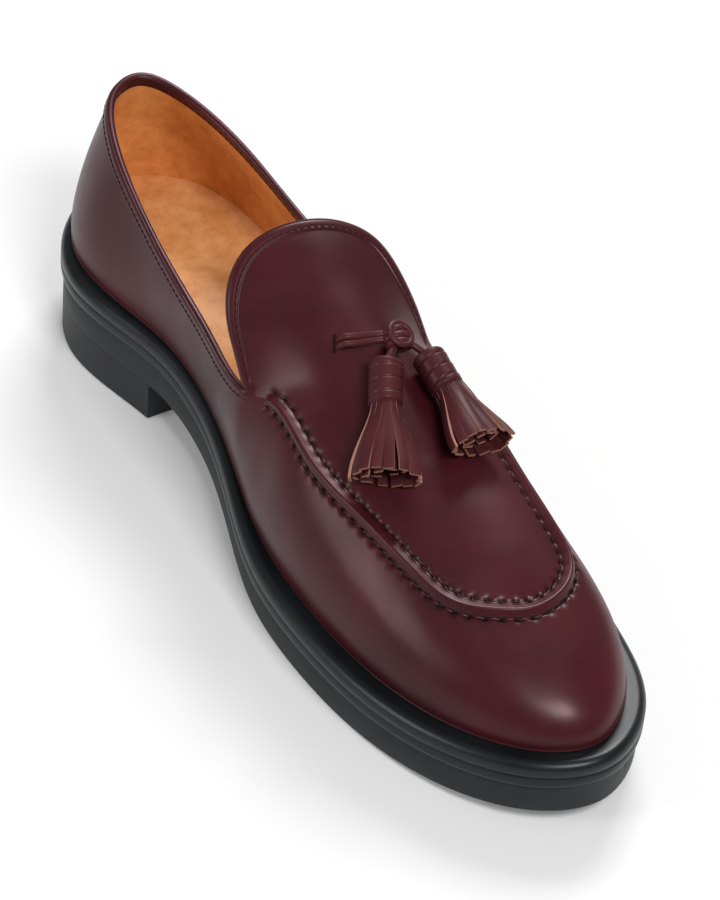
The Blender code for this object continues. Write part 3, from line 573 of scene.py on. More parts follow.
def band_lift(distance):
    """Folded binding: flat, with a rounded edge on both sides and a shallow stitch groove."""
    edge = soft_step((BAND_WIDTH + 0.00015 - distance) / 0.0004)
    groove = 0.00018 * np.exp(-((distance - 0.0024) / 0.0004) ** 2)
    roll = 0.00025 * (1 - soft_step(distance / 0.0007))
    return BAND_STEP * edge - groove - roll


def lip_lift(distance, run, share):
    """Raised moccasin seam: a round lip, a stitched valley beside it and small gathers past it."""
    narrow = np.exp(-(distance / LIP_WIDTH) ** 2)
    broad = np.exp(-(distance / 0.0019) ** 4)
    crest = LIP_HEIGHT * (0.55 * narrow + 0.45 * broad)
    valley = -0.00034 * np.exp(-((distance - 0.0024) / 0.0005) ** 2)
    gather = (0.5 + 0.5 * np.cos(2 * pi * run / SEAM_PITCH)) ** 1.5
    pucker = -0.00042 * gather * np.exp(-((distance - 0.0028) / 0.0010) ** 2)
    return share * (crest + valley + pucker)


def seam_painted_shade(distance, run, share):
    """Share of painted shade in the gathers and the stitched valley beside the seam, where shade falls."""
    gather = (0.5 + 0.5 * np.cos(2 * pi * run / SEAM_PITCH)) ** 1.5
    tooth = 0.85 * gather * np.exp(-((distance - 0.0029) / 0.0008) ** 2)
    line = 0.45 * np.exp(-((distance - 0.0023) / 0.00035) ** 2)
    return share * np.clip(tooth + line, 0, 0.9)


front = np.concatenate([np.linspace(KNOTS[NOTCH_MEDIAL], KNOTS[TIP], FRONT_COLUMNS + 1),
                        np.linspace(KNOTS[TIP], KNOTS[NOTCH_LATERAL], FRONT_COLUMNS + 1)[1:]])
collar = np.linspace(KNOTS[NOTCH_LATERAL], KNOTS[-1] + KNOTS[NOTCH_MEDIAL], COLLAR_COLUMNS + 1)[1:-1]
beside_seam = np.array((-1.6, -1.1, -0.75, -0.5, -0.25, 0.0, 0.25, 0.5, 0.75, 1.1, 1.6)) * 0.001
collar = collar[np.abs(collar - KNOTS[-1]) > 0.0022]
collar = np.sort(np.concatenate([collar, KNOTS[-1] + beside_seam]))
all_places = np.concatenate([front, collar])
back_seam = np.exp(-((all_places - KNOTS[-1]) / 0.00045) ** 2)
values, outward = read_stations(all_places)
last_front = len(front) - 1
seam_steps = np.linalg.norm(np.diff(values[:last_front + 1, 3:5], axis=0), axis=1)
seam_run = np.concatenate([[0], np.cumsum(seam_steps)])
seam_share = soft_step((np.minimum(seam_run, seam_run[-1] - seam_run) - LIP_START) / LIP_RAMP + 0.5)
band_share = 1 - soft_step(np.minimum(seam_run, seam_run[-1] - seam_run) / 0.0035)

skin_points, skin_lifts, skin_painted_shades, skin_faces = [], [], [], []


# Each skin point keeps its lift and its share of painted shade.
def add(place, lift, painted_shade=0.0):
    skin_points.append(place)
    skin_lifts.append(lift)
    skin_painted_shades.append(painted_shade)
    return len(skin_points) - 1


def edge_lifts(index):
    """Lift of every row beside the edge, for one column of the front or None for a free edge."""
    if index is None:
        return band_lift(ROWS)
    lip = lip_lift(ROWS, seam_run[index], seam_share[index])
    return lip + band_share[index] * band_lift(ROWS)


# Share of painted shade beside an edge: a thin line at the foot of the binding's step on a free edge, or the
# seam's gathers and valley on the front.
def edge_painted_shades(index):
    if index is None:
        return 0.30 * np.exp(-((ROWS - 0.0035) / 0.0002) ** 2)
    return seam_painted_shade(ROWS, seam_run[index], seam_share[index])


columns = []
for i, (row, side) in enumerate(zip(values, outward)):
    on_seam = i <= last_front
    top_height = float(apron_height(row[3], row[4])) if on_seam else float(welt_top(row[3]) + row[5])
    foot_plan = row[:2] - side * row[2]
    foot = np.array((*foot_plan, welt_top(foot_plan[0]) + GAP))
    top = np.array((*row[3:5], top_height))
    reach = np.linalg.norm(top - foot)
    out = np.array((*side, 0.0))
    low = foot + row[8] * reach * (sin(row[6]) * out + cos(row[6]) * np.array((0, 0, 1.0)))
    high = top + row[9] * reach * (cos(row[7]) * out - sin(row[7]) * np.array((0, 0, 1.0)))
    t = np.linspace(0, 1, 161)[:, None]
    curve = (1 - t) ** 3 * foot + 3 * (1 - t) ** 2 * t * low + 3 * (1 - t) * t * t * high + t ** 3 * top
    length = np.concatenate([[0], np.cumsum(np.linalg.norm(np.diff(curve, axis=0), axis=1))])
    near_top = length[-1] - ROWS[::-1]
    wanted = np.concatenate([np.linspace(0, near_top[0], WALL_ROWS + 1)[:-1], near_top])
    rib = np.stack([np.interp(wanted, length, curve[:, k]) for k in range(3)], axis=1)
    lifts = np.concatenate([np.zeros(WALL_ROWS), edge_lifts(i if on_seam else None)[::-1]])
    painted_shades = np.concatenate([np.zeros(WALL_ROWS), edge_painted_shades(i if on_seam else None)[::-1]])
    # Back seam: a shallow groove down the back below the binding, darkened with painted shade.
    below_band = back_seam[i] * soft_step((length[-1] - wanted - BAND_WIDTH) / 0.0008)
    lifts = lifts - 0.00035 * below_band
    painted_shades = np.maximum(painted_shades, 0.75 * below_band)
    columns.append([add(p, r, d) for p, r, d in zip(rib, lifts, painted_shades)])
for near, far in zip(columns, columns[1:] + columns[:1]):
    for k in range(len(near) - 1):
        skin_faces.append((near[k], far[k], far[k + 1], near[k + 1]))

scale = np.array((SOLE_LENGTH, BALL_WIDTH))
edge_points = np.vstack([TABLE[NOTCH_MEDIAL:NOTCH_MEDIAL + 1, 3:5], np.array(TONGUE_EDGE) * scale,
                         TABLE[NOTCH_LATERAL:NOTCH_LATERAL + 1, 3:5]])
edge_knots = np.concatenate([[0], np.cumsum(np.linalg.norm(np.diff(edge_points, axis=0), axis=1))])
tongue_top = np.interp(TONGUE_TOP, range(len(edge_knots)), edge_knots)
edge_places = np.concatenate([np.linspace(0, tongue_top, TONGUE_COLUMNS + 1),
                              np.linspace(tongue_top, edge_knots[-1], TONGUE_COLUMNS + 1)[1:]])
tongue_plan = cubic_through(edge_knots, edge_points, edge_places, False)
free_edge = [add((*p, float(apron_height(*p))), band_lift(0.0)) for p in tongue_plan[1:-1]]
loop = [columns[i][-1] for i in range(FRONT_COLUMNS, -1, -1)] + free_edge
loop += [columns[i][-1] for i in range(last_front, FRONT_COLUMNS, -1)]
owner = list(range(FRONT_COLUMNS, -1, -1)) + [None] * len(free_edge)
owner += list(range(last_front, FRONT_COLUMNS, -1))
plan = np.array([skin_points[i][:2] for i in loop])
run = np.roll(plan, -1, axis=0) - np.roll(plan, 1, axis=0)
inward = np.stack([-run[:, 1], run[:, 0]], axis=1)
for _ in range(3):
    inward = (np.roll(inward, 1, axis=0) + inward + np.roll(inward, -1, axis=0)) / 3
inward /= np.linalg.norm(inward, axis=1)[:, None]
if np.sum(inward * (plan.mean(axis=0) - plan)) < 0:
    inward = -inward
probe = plan + inward * BAND_WIDTH
climb = (apron_height(probe[:, 0], probe[:, 1]) - apron_height(plan[:, 0], plan[:, 1])) / BAND_WIDTH
flatten = 1 / np.sqrt(1 + climb ** 2)
loop_lifts = np.array([edge_lifts(i) for i in owner])
loop_painted_shades = np.array([edge_painted_shades(i) for i in owner])
rings = [loop]
for level in range(1, len(ROWS)):
    spots = plan + inward * (ROWS[level] * flatten)[:, None]
    heights = apron_height(spots[:, 0], spots[:, 1])
    rings.append([add((*p, h), r, d) for p, h, r, d in
                  zip(spots, heights, loop_lifts[:, level], loop_painted_shades[:, level])])
count = len(loop)
for outer, inner in zip(rings, rings[1:]):
    for i in range(count):
        j = (i + 1) % count
        skin_faces.append((outer[i], outer[j], inner[j], inner[i]))
last = rings[-1]
half = count // 2
spans = [[last[0]] * (APRON_COLUMNS + 1)]
for i in range(1, half):
    a = np.array(skin_points[last[i]][:2])
    b = np.array(skin_points[last[count - i]][:2])
    spots = a + (b - a) * (np.arange(1, APRON_COLUMNS) / APRON_COLUMNS)[:, None]
    heights = apron_height(spots[:, 0], spots[:, 1])
    spans.append([last[i]] + [add((*p, h), 0.0) for p, h in zip(spots, heights)] + [last[count - i]])
spans.append([last[half]] * (APRON_COLUMNS + 1))
for near, far in zip(spans, spans[1:]):
    for k in range(APRON_COLUMNS):
        cell = tuple(dict.fromkeys((near[k], near[k + 1], far[k + 1], far[k])))
        if len(cell) > 2:
            skin_faces.append(cell)


def corner_normals(points, faces):
    """Area-weighted point normals of a skin whose faces all turn the same way."""
    normals = np.zeros_like(points)
    quads = np.array([f if len(f) == 4 else (*f, f[2]) for f in faces])
    across_face = np.cross(points[quads[:, 2]] - points[quads[:, 0]],
                           points[quads[:, 3]] - points[quads[:, 1]])
    small = quads[:, 2] == quads[:, 3]
    across_face[small] = np.cross(points[quads[small, 1]] - points[quads[small, 0]],
                                  points[quads[small, 2]] - points[quads[small, 0]])
    for k in range(4):
        np.add.at(normals, quads[:, k], across_face)
    return normals / np.maximum(np.linalg.norm(normals, axis=1), 1e-12)[:, None]


base = np.array(skin_points)
lifts = np.array(skin_lifts)
wall_count = len(columns) * (len(columns[0]) - 1)
ring_count = (len(ROWS) - 1) * count


def turned_out(faces, outward_at):
    """The faces, all reversed if their normals go against the outward direction."""
    normals = corner_normals(base, faces)
    used = np.unique(np.concatenate([np.asarray(f) for f in faces[:2000]]))
    agree = np.sum(np.broadcast_to(outward_at, base.shape)[used] * normals[used])
    return faces if agree > 0 else [f[::-1] for f in faces]


from_middle = base - base.mean(axis=0)
upward = np.array((0.0, 0.0, 1.0))
skin_faces = (turned_out(skin_faces[:wall_count], from_middle)
              + turned_out(skin_faces[wall_count:wall_count + ring_count], upward)
              + turned_out(skin_faces[wall_count + ring_count:], upward))
normals = corner_normals(base, skin_faces)

# Creases of the upper: soft troughs, each from one place to another on the skin.
# from along, across to along, across (shares), half width and depth (metres)
CREASES = (
    ((0.612, -0.235), (0.640, -0.150), 0.0016, 0.00034),
    ((0.628, -0.255), (0.655, -0.165), 0.0014, 0.00028),
    ((0.596, -0.225), (0.622, -0.120), 0.0018, 0.00034),
    ((0.580, -0.210), (0.600, -0.100), 0.0022, 0.00036),
    ((0.560, -0.225), (0.583, -0.130), 0.0020, 0.00024),
    ((0.655, -0.090), (0.668, 0.090), 0.0040, 0.00036),
    ((0.700, -0.140), (0.706, 0.110), 0.0060, 0.00042),
    ((0.632, 0.190), (0.655, 0.270), 0.0020, 0.00024),
    ((0.600, 0.215), (0.622, 0.285), 0.0022, 0.00022),
    ((0.452, -0.160), (0.470, 0.130), 0.0080, 0.00030),
    ((0.500, -0.300), (0.540, -0.200), 0.0030, 0.00020),
)
# The same on the walls: along, height share of 40 mm, side (-1 medial), radius and depth
DIMPLES = (
    (0.470, 0.42, -1, 0.0130, 0.00070),
    (0.545, 0.60, -1, 0.0060, 0.00045),
    (0.215, 0.45, -1, 0.0150, 0.00060),
    (0.120, 0.62, -1, 0.0090, -0.00040),
    (0.500, 0.45, 1, 0.0120, 0.00060),
    (0.230, 0.45, 1, 0.0150, 0.00060),
    (0.640, 0.55, 1, 0.0070, 0.00040),
)
shape = np.zeros(len(base))
for start, end, width, depth in CREASES:
    a = np.array(start) * scale
    b = np.array(end) * scale
    flat = base[:, :2] - a
    share = np.clip(flat @ (b - a) / np.sum((b - a) ** 2), 0, 1)
    gap = np.linalg.norm(flat - share[:, None] * (b - a), axis=1)
    high_up = base[:, 2] > welt_top(base[:, 0]) + 0.012
    faded = 0.4 + 0.6 * np.sin(pi * np.clip(share, 0.1, 0.9))
    shape -= depth * np.exp(-(gap / width) ** 2) * faded * high_up
for along, level, side, radius, depth in DIMPLES:
    near = base[:, 0] - along * SOLE_LENGTH
    side_of = np.sign(base[:, 1]) == side
    height = base[:, 2] - welt_top(base[:, 0]) - level * 0.040
    shape -= depth * np.exp(-((near / radius) ** 2 + (height / (radius * 1.3)) ** 2)) * side_of
# Leather is never quite even: waves of 0.03 mm, some 20 mm long
wobble = (0.00003 * np.sin(base[:, 0] * 310 + base[:, 1] * 140)
          * np.sin(base[:, 1] * 260 + base[:, 2] * 190))
edge_fade = soft_step((base[:, 2] - welt_top(base[:, 0])) / 0.004)
outer_skin = base + normals * (lifts + (shape + wobble) * edge_fade)[:, None]
inner_skin = base - normals * UPPER_WALL
foot_points = [column[0] for column in columns]
outer_skin[foot_points, 2] = base[foot_points, 2]
inner_skin[foot_points, 2] = base[foot_points, 2]

# Rim of the opening: the binding rolls over it and ends a little way down inside
opening = [column[-1] for column in columns[last_front:]] + [columns[0][-1]] + free_edge
below = [column[-2] for column in columns[last_front:]] + [columns[0][-2]]
where = {v: i for i, v in enumerate(loop)}
below += [rings[1][where[i]] for i in free_edge]
size = len(base)
rim_rows = []
extra = []
for turn in np.radians((30, 60, 90, 120, 150)):
    row = []
    for edge_point, next_point in zip(opening, below):
        rise_to = base[edge_point] - base[next_point]
        rise_to /= np.linalg.norm(rise_to)
        middle = (outer_skin[edge_point] + inner_skin[edge_point]) / 2
        radius = np.linalg.norm(outer_skin[edge_point] - inner_skin[edge_point]) / 2
        across_rim = (outer_skin[edge_point] - middle) / radius
        extra.append(middle + across_rim * radius * cos(turn) + rise_to * radius * 0.75 * sin(turn))
        row.append(2 * size + len(extra) - 1)
    rim_rows.append(row)
all_points = np.vstack([outer_skin, inner_skin, np.array(extra)])
chain = [opening] + rim_rows + [[i + size for i in opening]]
rim_faces = []
for near, far in zip(chain, chain[1:]):
    for i in range(len(near)):
        j = (i + 1) % len(near)
        rim_faces.append((near[j], near[i], far[i], far[j]))
foot_faces = [(a, b, b + size, a + size)
              for a, b in zip(foot_points, foot_points[1:] + foot_points[:1])]
edge_distance = np.full(size, 1.0)
for column in columns[last_front:] + columns[:1]:
    for k in range(len(ROWS)):
        edge_distance[column[-1 - k]] = ROWS[k]
for i, index in enumerate(owner):
    if index is None:
        for k in range(len(ROWS)):
            edge_distance[rings[k][i]] = ROWS[k]
# The binding is turned in this far over the edge, and the lining begins below it
TURNED_IN = 0.0036
inside = [tuple(i + size for i in f[::-1]) for f in skin_faces]
turned_in = [all(edge_distance[i - size] <= TURNED_IN for i in f) for f in inside]
leather_faces = skin_faces + rim_faces + foot_faces + [f for f, t in zip(inside, turned_in) if t]
# The skin's points carry their share of painted shade to the calf material as a point attribute.
piece("upper_calf_skin", all_points, leather_faces, [calf], stands_for=["upper"],
      painted_shade=np.concatenate([skin_painted_shades, np.zeros(len(all_points) - size)]))

# Lining: tan leather cemented to the inside of the upper and sewn under the turned-in binding.
# It is the inner face of the same wall, so its points are the upper's, and the two share a border.
lining_faces = [f for f, t in zip(inside, turned_in) if not t]
piece("upper_lining", all_points, lining_faces, [tan_lining])


# Stitches: waxed polyester thread, dull and dark. One node group spaces the stitches evenly along
# a path on the skin, and turns each to lie along it and flat to the leather.
def thread_material(name, colour):
    return new_material(name, Base_Color=linear(colour), Roughness=0.75, Specular_IOR_Level=0.12)[0]


burgundy_thread = thread_material("burgundy_waxed_thread", "#2c1016")
dark_thread = thread_material("dark_seam_thread", "#0d0405")
tan_thread = thread_material("tan_lining_thread", "#8f5a2c")

stitch_tree = bpy.data.node_groups.new("stitch_row", "GeometryNodeTree")
face = stitch_tree.interface
face.new_socket(name="Path", in_out="INPUT", socket_type="NodeSocketGeometry")
for label, kind in (("Pitch", "NodeSocketFloat"), ("Stitch Length", "NodeSocketFloat"),
                    ("Thread Radius", "NodeSocketFloat"), ("Thread", "NodeSocketMaterial")):
    face.new_socket(name=label, in_out="INPUT", socket_type=kind)
face.new_socket(name="Stitches", in_out="OUTPUT", socket_type="NodeSocketGeometry")
group_in = stitch_tree.nodes.new("NodeGroupInput")
curve = node(stitch_tree, "GeometryNodeMeshToCurve", i0=group_in.outputs["Path"])
spaced = node(stitch_tree, "GeometryNodeResampleCurve", {"mode": "LENGTH"}, Curve=curve.outputs[0],
              Length=group_in.outputs["Pitch"])
tangent = node(stitch_tree, "GeometryNodeInputTangent")
normal = node(stitch_tree, "GeometryNodeInputNamedAttribute", {"data_type": "FLOAT_VECTOR"},
              Name="skin_normal")
turn_to = node(stitch_tree, "FunctionNodeAxesToRotation",
               {"primary_axis": "Z", "secondary_axis": "X"}, i0=normal.outputs[0], i1=tangent.outputs[0])
ball = node(stitch_tree, "GeometryNodeMeshUVSphere", Segments=8, Rings=6, Radius=1.0)
half_length = node(stitch_tree, "ShaderNodeMath", {"operation": "MULTIPLY"},
                   i0=group_in.outputs["Stitch Length"], i1=0.5)
size_of = node(stitch_tree, "ShaderNodeCombineXYZ", i0=half_length.outputs[0],
               i1=group_in.outputs["Thread Radius"], i2=group_in.outputs["Thread Radius"])
placed = node(stitch_tree, "GeometryNodeInstanceOnPoints", Points=spaced.outputs[0], Instance=ball.outputs[0],
              Rotation=turn_to.outputs[0], Scale=size_of.outputs[0])
solid = node(stitch_tree, "GeometryNodeRealizeInstances", i0=placed.outputs[0])
painted = node(stitch_tree, "GeometryNodeSetMaterial", Geometry=solid.outputs[0],
               Material=group_in.outputs["Thread"])
group_out = stitch_tree.nodes.new("NodeGroupOutput")
stitch_tree.links.new(painted.outputs[0], group_out.inputs[0])


def stitch_row(name, route, route_normals, pitch, length, radius, thread, slot):
    """Stitches along one route of skin points, as a plain mesh."""
    mesh = bpy.data.meshes.new(name + "_path")
    mesh.from_pydata(to_world(route).tolist(), [(i, i + 1) for i in range(len(route) - 1)], [])
    turned = np.stack([route_normals[:, 1], -route_normals[:, 0], route_normals[:, 2]], axis=1)
    held = mesh.attributes.new("skin_normal", "FLOAT_VECTOR", "POINT")
    held.data.foreach_set("vector", turned.astype(np.float32).ravel())
    carrier = bpy.data.objects.new(name + "_path", mesh)
    bpy.context.scene.collection.objects.link(carrier)
    nodes = carrier.modifiers.new("stitches", "NODES")
    nodes.node_group = stitch_tree
    names = {item.name: item.identifier for item in stitch_tree.interface.items_tree
             if item.in_out == "INPUT"}
    nodes[names["Pitch"]] = pitch
    nodes[names["Stitch Length"]] = length
    nodes[names["Thread Radius"]] = radius
    nodes[names["Thread"]] = thread
    bpy.context.view_layer.update()
    made = bpy.data.meshes.new_from_object(carrier.evaluated_get(bpy.context.evaluated_depsgraph_get()))
    made.name = name
    made.shade_smooth()
    carrier.modifiers.remove(nodes)
    bpy.data.objects.remove(carrier)
    thing = bpy.data.objects.new(name, made)
    bpy.context.scene.collection.objects.link(thing)
    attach(thing, "root")


def skin_route(rows, lift):
    """The outer skin's points and normals along a row of point numbers."""
    return outer_skin[rows] + normals[rows] * lift, normals[rows]


# Band stitches: one row of fine burgundy stitches holds the folded binding down, all along the
# collar and round the tongue.
BAND_STITCH = (0.0021, 0.0017, 0.00020)
collar_columns = list(range(last_front + 1, len(columns)))
route, aim_at = skin_route([columns[i][-1 - STITCH_ROW] for i in collar_columns], 0.00004)
stitch_row("collar_band_stitches", route, aim_at, *BAND_STITCH, burgundy_thread, "upper_leather")
tongue_spots = [i for i, index in enumerate(owner) if index is None]
route, aim_at = skin_route([rings[STITCH_ROW][i] for i in tongue_spots], 0.00004)
stitch_row("tongue_band_stitches", route, aim_at, *BAND_STITCH, burgundy_thread, "upper_leather")

# Seam stitches: thick dark thread, sewn by hand through lip and wall, one stitch to a gather. It
# shows in the valley on both sides of the lip.
seam_columns = [i for i in range(last_front + 1) if seam_share[i] > 0.6]
route, aim_at = skin_route([columns[i][-1 - STITCH_ROW] for i in seam_columns], 0.00002)
stitch_row("seam_stitches_wall", route, aim_at, SEAM_PITCH, 0.0018, 0.00030, dark_thread,
           "upper_leather")
seam_spots = [i for i, index in enumerate(owner) if index is not None and seam_share[index] > 0.6]
medial_spots = [i for i in seam_spots if owner[i] <= FRONT_COLUMNS]
lateral_spots = [i for i in seam_spots if owner[i] > FRONT_COLUMNS]
route, aim_at = skin_route([rings[STITCH_ROW][i] for i in lateral_spots + medial_spots], 0.00002)
stitch_row("seam_stitches_apron", route, aim_at, SEAM_PITCH, 0.0013, 0.00024, dark_thread,
           "upper_leather")

# Lining stitches: the turned-in binding is sewn down inside the collar. The heel lining is a
# piece of its own, so a seam runs down each inner side in front of the heel.
inner_normals = -normals
rows = [columns[i][-1 - STITCH_ROW] for i in collar_columns]
stitch_row("lining_edge_stitches", inner_skin[rows] + inner_normals[rows] * 0.00004, inner_normals[rows],
           0.0024, 0.0016, 0.00012, burgundy_thread, "lining_leather")
HEEL_LINING_END = 0.30
for side_name, sign in (("medial", -1), ("lateral", 1)):
    beside = [i for i in collar_columns if sign * values[i, 4] > 0]
    pick = min(beside, key=lambda i: abs(values[i, 3] - HEEL_LINING_END * SOLE_LENGTH))
    rows = columns[pick][5:-11]
    stitch_row("lining_seam_" + side_name, inner_skin[rows] + inner_normals[rows] * 0.00005,
               inner_normals[rows], 0.0024, 0.0017, 0.00014, tan_thread, "lining_leather")

# Tassels: each a burgundy strap wound round the head of a bundle of cut leather strips. The strips
# are separate, curl a little apart, and show paler raw edges where the hide was cut.
strap_leather = burgundy_calf("burgundy_strap_leather", "#300f14", "#4a1d21", 0.45, 0.08)
raw_edge = new_material("raw_cut_leather_edge", Base_Color=linear("#8a5c4c"), Roughness=0.75)[0]
TASSEL_HEAD_RADIUS = 0.0049
SKIRT_HALF_WIDTH = 0.0102
SKIRT_HALF_DEPTH = 0.0056
STRIP_THICKNESS = 0.0010
STRIP_SECTION = ((-1, -0.8), (-0.85, -1), (0.85, -1), (1, -0.8), (1, 0.8), (0.85, 1), (-0.85, 1), (-1, 0.8))
# name, head and tip (along, across as shares), each with its height in head radii
TASSELS = (
    ("tassel_medial", (0.564, 0.006), 1.14, (0.676, -0.171), 1.31),
    ("tassel_lateral", (0.568, 0.130), 1.18, (0.686, 0.130), 1.47),
)


def tassel_frame(head, tip, share, lifts):
    place = np.array(head) + (np.array(tip) - np.array(head)) * share
    ground, out = on_apron(place)
    return ground + out * TASSEL_HEAD_RADIUS * (lifts[0] + (lifts[1] - lifts[0]) * share), out


def tassel_axes(head, tip, share, lifts):
    centre, out = tassel_frame(head, tip, share, lifts)
    ahead, _ = tassel_frame(head, tip, share + 0.01, lifts)
    axis = (ahead - centre) / np.linalg.norm(ahead - centre)
    side = np.cross(axis, out)
    side /= np.linalg.norm(side)
    return centre, axis, side, np.cross(side, axis)


def grid_faces(starts, around, closed=True):
    faces = []
    for base_at, following in zip(starts, starts[1:]):
        for k in range(around if closed else around - 1):
            j = (k + 1) % around
            faces.append((base_at + k, base_at + j, following + j, following + k))
    return faces


for name, head, head_lift, tip, tip_lift in TASSELS:
    lifts = (head_lift, tip_lift)
    points, faces, picks = [], [], []
    starts = []
    around = 48
    for share in np.linspace(-0.004, 0.41, 64):
        centre, axis, side, over = tassel_axes(head, tip, share, lifts)
        rounded = np.sqrt(np.clip(1 - ((0.05 - share) / 0.054) ** 2, 0.02, 1)) if share < 0.05 else 1.0
        end = 1 - 0.18 * soft_step((share - 0.375) / 0.03)
        start = len(points)
        for k in range(around):
            turn = 2 * pi * k / around
            wind = (share / 0.118 + turn / (2 * pi)) % 1.0
            groove = np.exp(-(wind / 0.06) ** 2) + np.exp(-((wind - 1.0) / 0.06) ** 2)
            layer = 1 + 0.05 * (1 - wind) - 0.07 * groove
            radius = TASSEL_HEAD_RADIUS * 0.97 * rounded * end * layer
            points.append(centre + radius * (side * cos(turn) + over * sin(turn)))
        starts.append(start)
    faces += grid_faces(starts, around)
    for base_at, flip in ((starts[0], True), (starts[-1], False)):
        cell = tuple(base_at + k for k in range(around))
        faces.append(cell[::-1] if flip else cell)
    picks += [0] * len(faces)
    # Strips: an outer ring and an inner ring, each strip a thin curved bar
    for layer, strips, spread, offset in ((0, 14, 1.0, 0.0), (1, 8, 0.60, 0.5)):
        for strip in range(strips):
            turn = 2 * pi * (strip + offset) / strips + 0.10 * sin(7.3 * strip + layer)
            slack = 1 + 0.06 * sin(4.1 * strip + 1.7 * layer + len(name))
            reach = 0.975 + 0.03 * sin(5.7 * strip + layer) - 0.03 * layer
            half_strip = (0.00150 if layer == 0 else 0.0013) * (1 + 0.12 * sin(3.3 * strip))
            starts = []
            for share in np.linspace(0.36, reach, 15):
                centre, axis, side, over = tassel_axes(head, tip, share, lifts)
                grow = (share - 0.38) / 0.62
                open_up = soft_step(max(grow, 0.0)) ** 0.85
                bound = TASSEL_HEAD_RADIUS * 0.72 * (1 - open_up)
                wide = bound + (SKIRT_HALF_WIDTH - 0.0006) * open_up * slack
                deep = bound + (SKIRT_HALF_DEPTH - 0.0006) * open_up * slack
                spot = centre + spread * (side * cos(turn) * wide + over * sin(turn) * deep)
                out = side * cos(turn) * deep + over * sin(turn) * wide
                out /= np.linalg.norm(out)
                along_ring = np.cross(axis, out)
                twist = 0.25 * sin(2.9 * strip + layer) * max(grow, 0.0)
                across_strip = along_ring * cos(twist) + out * sin(twist)
                through = np.cross(across_strip, axis)
                start = len(points)
                for u, v in STRIP_SECTION:
                    points.append(spot + across_strip * half_strip * u + through * STRIP_THICKNESS / 2 * v)
                starts.append(start)
            made = grid_faces(starts, 8)
            faces += made
            picks += [1 if k % 8 in (3, 7) else 0 for k in range(len(made))]
            for base_at, flip in ((starts[0], True), (starts[-1], False)):
                cell = tuple(base_at + k for k in range(8))
                faces.append(cell[::-1] if flip else cell)
                picks.append(0 if flip else 1)
    piece(name + "_leather", points, faces, [strap_leather, raw_edge], picks,
          [name], sharp=35)

# Thong: a narrow flat lace of the same burgundy leather that comes out of a slit in the vamp as
# two strands, is knotted round itself, and ends in the two tassels.
KNOT = (0.5440, 0.072)
KNOT_LIFT = 0.0048
KNOT_RADIUS = 0.0046
SLIT = (0.5190, -0.087)
THONG_RADIUS = 0.0011


def lace(route, wide, thick, out, closed=False):
    """Points and faces of a flattened lace along a route; out gives its flat side."""
    route = np.asarray(route)
    if closed:
        run = np.roll(route, -1, axis=0) - np.roll(route, 1, axis=0)
    else:
        run = np.gradient(route, axis=0)
    run /= np.linalg.norm(run, axis=1)[:, None]
    points, starts = [], []
    for place, ahead, facing_out in zip(route, run, np.broadcast_to(out, route.shape)):
        side = np.cross(ahead, facing_out)
        side /= np.linalg.norm(side)
        over = np.cross(side, ahead)
        starts.append(len(points))
        for turn in np.arange(12) * 2 * pi / 12:
            points.append(place + side * wide * cos(turn) + over * thick * sin(turn))
    if closed:
        starts.append(starts[0])
    faces = grid_faces(starts, 12)
    if not closed:
        faces.append(tuple(starts[0] + k for k in range(12))[::-1])
        faces.append(tuple(starts[-1] + k for k in range(12)))
    return points, faces


ground, knot_out = on_apron(KNOT)
centre = ground + knot_out * KNOT_LIFT
points, faces = [], []


def join_in(more_points, more_faces):
    offset = len(points)
    points.extend(more_points)
    faces.extend(tuple(i + offset for i in f) for f in more_faces)


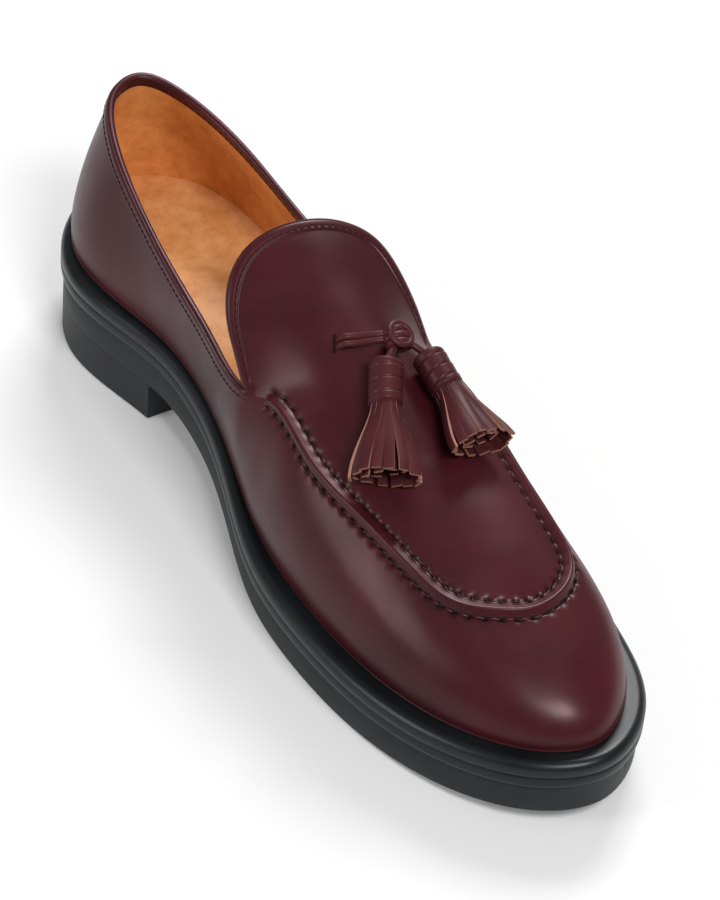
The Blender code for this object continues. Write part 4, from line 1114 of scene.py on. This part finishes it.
slit_ground, slit_out = on_apron(SLIT)
heading = ground - slit_ground
heading /= np.linalg.norm(heading)
for sign in (-1, 1):
    beside = np.cross(heading, slit_out) * 0.0012 * sign
    route = []
    for share in np.linspace(0, 1, 24):
        place = np.array(SLIT) + (np.array(KNOT) - np.array(SLIT)) * share
        under, out = on_apron(place)
        lift = -0.0012 + 0.0026 * soft_step(share / 0.16)
        lift += (KNOT_LIFT - 0.0014) * soft_step((share - 0.25) / 0.7)
        route.append(under + out * lift + beside * (1 - 0.35 * share))
    join_in(*lace(route, THONG_RADIUS * 0.98, THONG_RADIUS * 0.8, slit_out))
axis = on_apron(TASSELS[0][3])[0] - slit_ground
axis /= np.linalg.norm(axis)
side = np.cross(axis, knot_out)
side /= np.linalg.norm(side)
over = np.cross(side, axis)
turns = np.linspace(0, 2 * pi, 33)[:-1]
for shift, tilt, size_share in ((-0.0020, 0.30, 0.90), (0.0002, 0.12, 1.0), (0.0022, -0.22, 0.92)):
    wound = [centre + axis * (shift + 0.0012 * tilt * cos(t))
             + KNOT_RADIUS * size_share * 0.80 * (side * cos(t) + over * sin(t) * 0.74) for t in turns]
    outs = [(side * cos(t) + over * sin(t)) for t in turns]
    join_in(*lace(wound, THONG_RADIUS * 1.10, THONG_RADIUS * 0.75, np.array(outs), closed=True))
tie = [centre + side * KNOT_RADIUS * 0.738 * cos(t) + axis * 0.0036 * sin(t) + over * 0.0024
       for t in turns]
join_in(*lace(tie, THONG_RADIUS * 0.95, THONG_RADIUS * 0.7, over, closed=True))
for _, head, head_lift, tip, tip_lift in TASSELS:
    cap, _ = tassel_frame(head, tip, 0.03, (head_lift, tip_lift))
    route = [centre + (cap - centre) * s + knot_out * 0.0008 * sin(pi * s) for s in np.linspace(0, 1, 12)]
    join_in(*lace(route, THONG_RADIUS * 1.05, THONG_RADIUS * 0.9, knot_out))
piece("tassel_thong_lace", points, faces, [strap_leather], stands_for=["tassel_thong"])

# Slit: a cut through the vamp across the strands, where the thong comes out. Its shadow is painted:
# a thin flat strip in the dark thread's colour lies on the skin as the slit's painted shadow.
slit_run = np.cross(heading, slit_out)
slit_run /= np.linalg.norm(slit_run)
route = [slit_ground + slit_out * 0.00010 + slit_run * s for s in np.linspace(-0.0027, 0.0027, 14)]
points, faces = lace(route, 0.00038, 0.00014, slit_out)
piece("thong_slit_painted_shadow", points, faces, [dark_thread])

# Sizes: the box round the visual model
low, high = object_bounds()
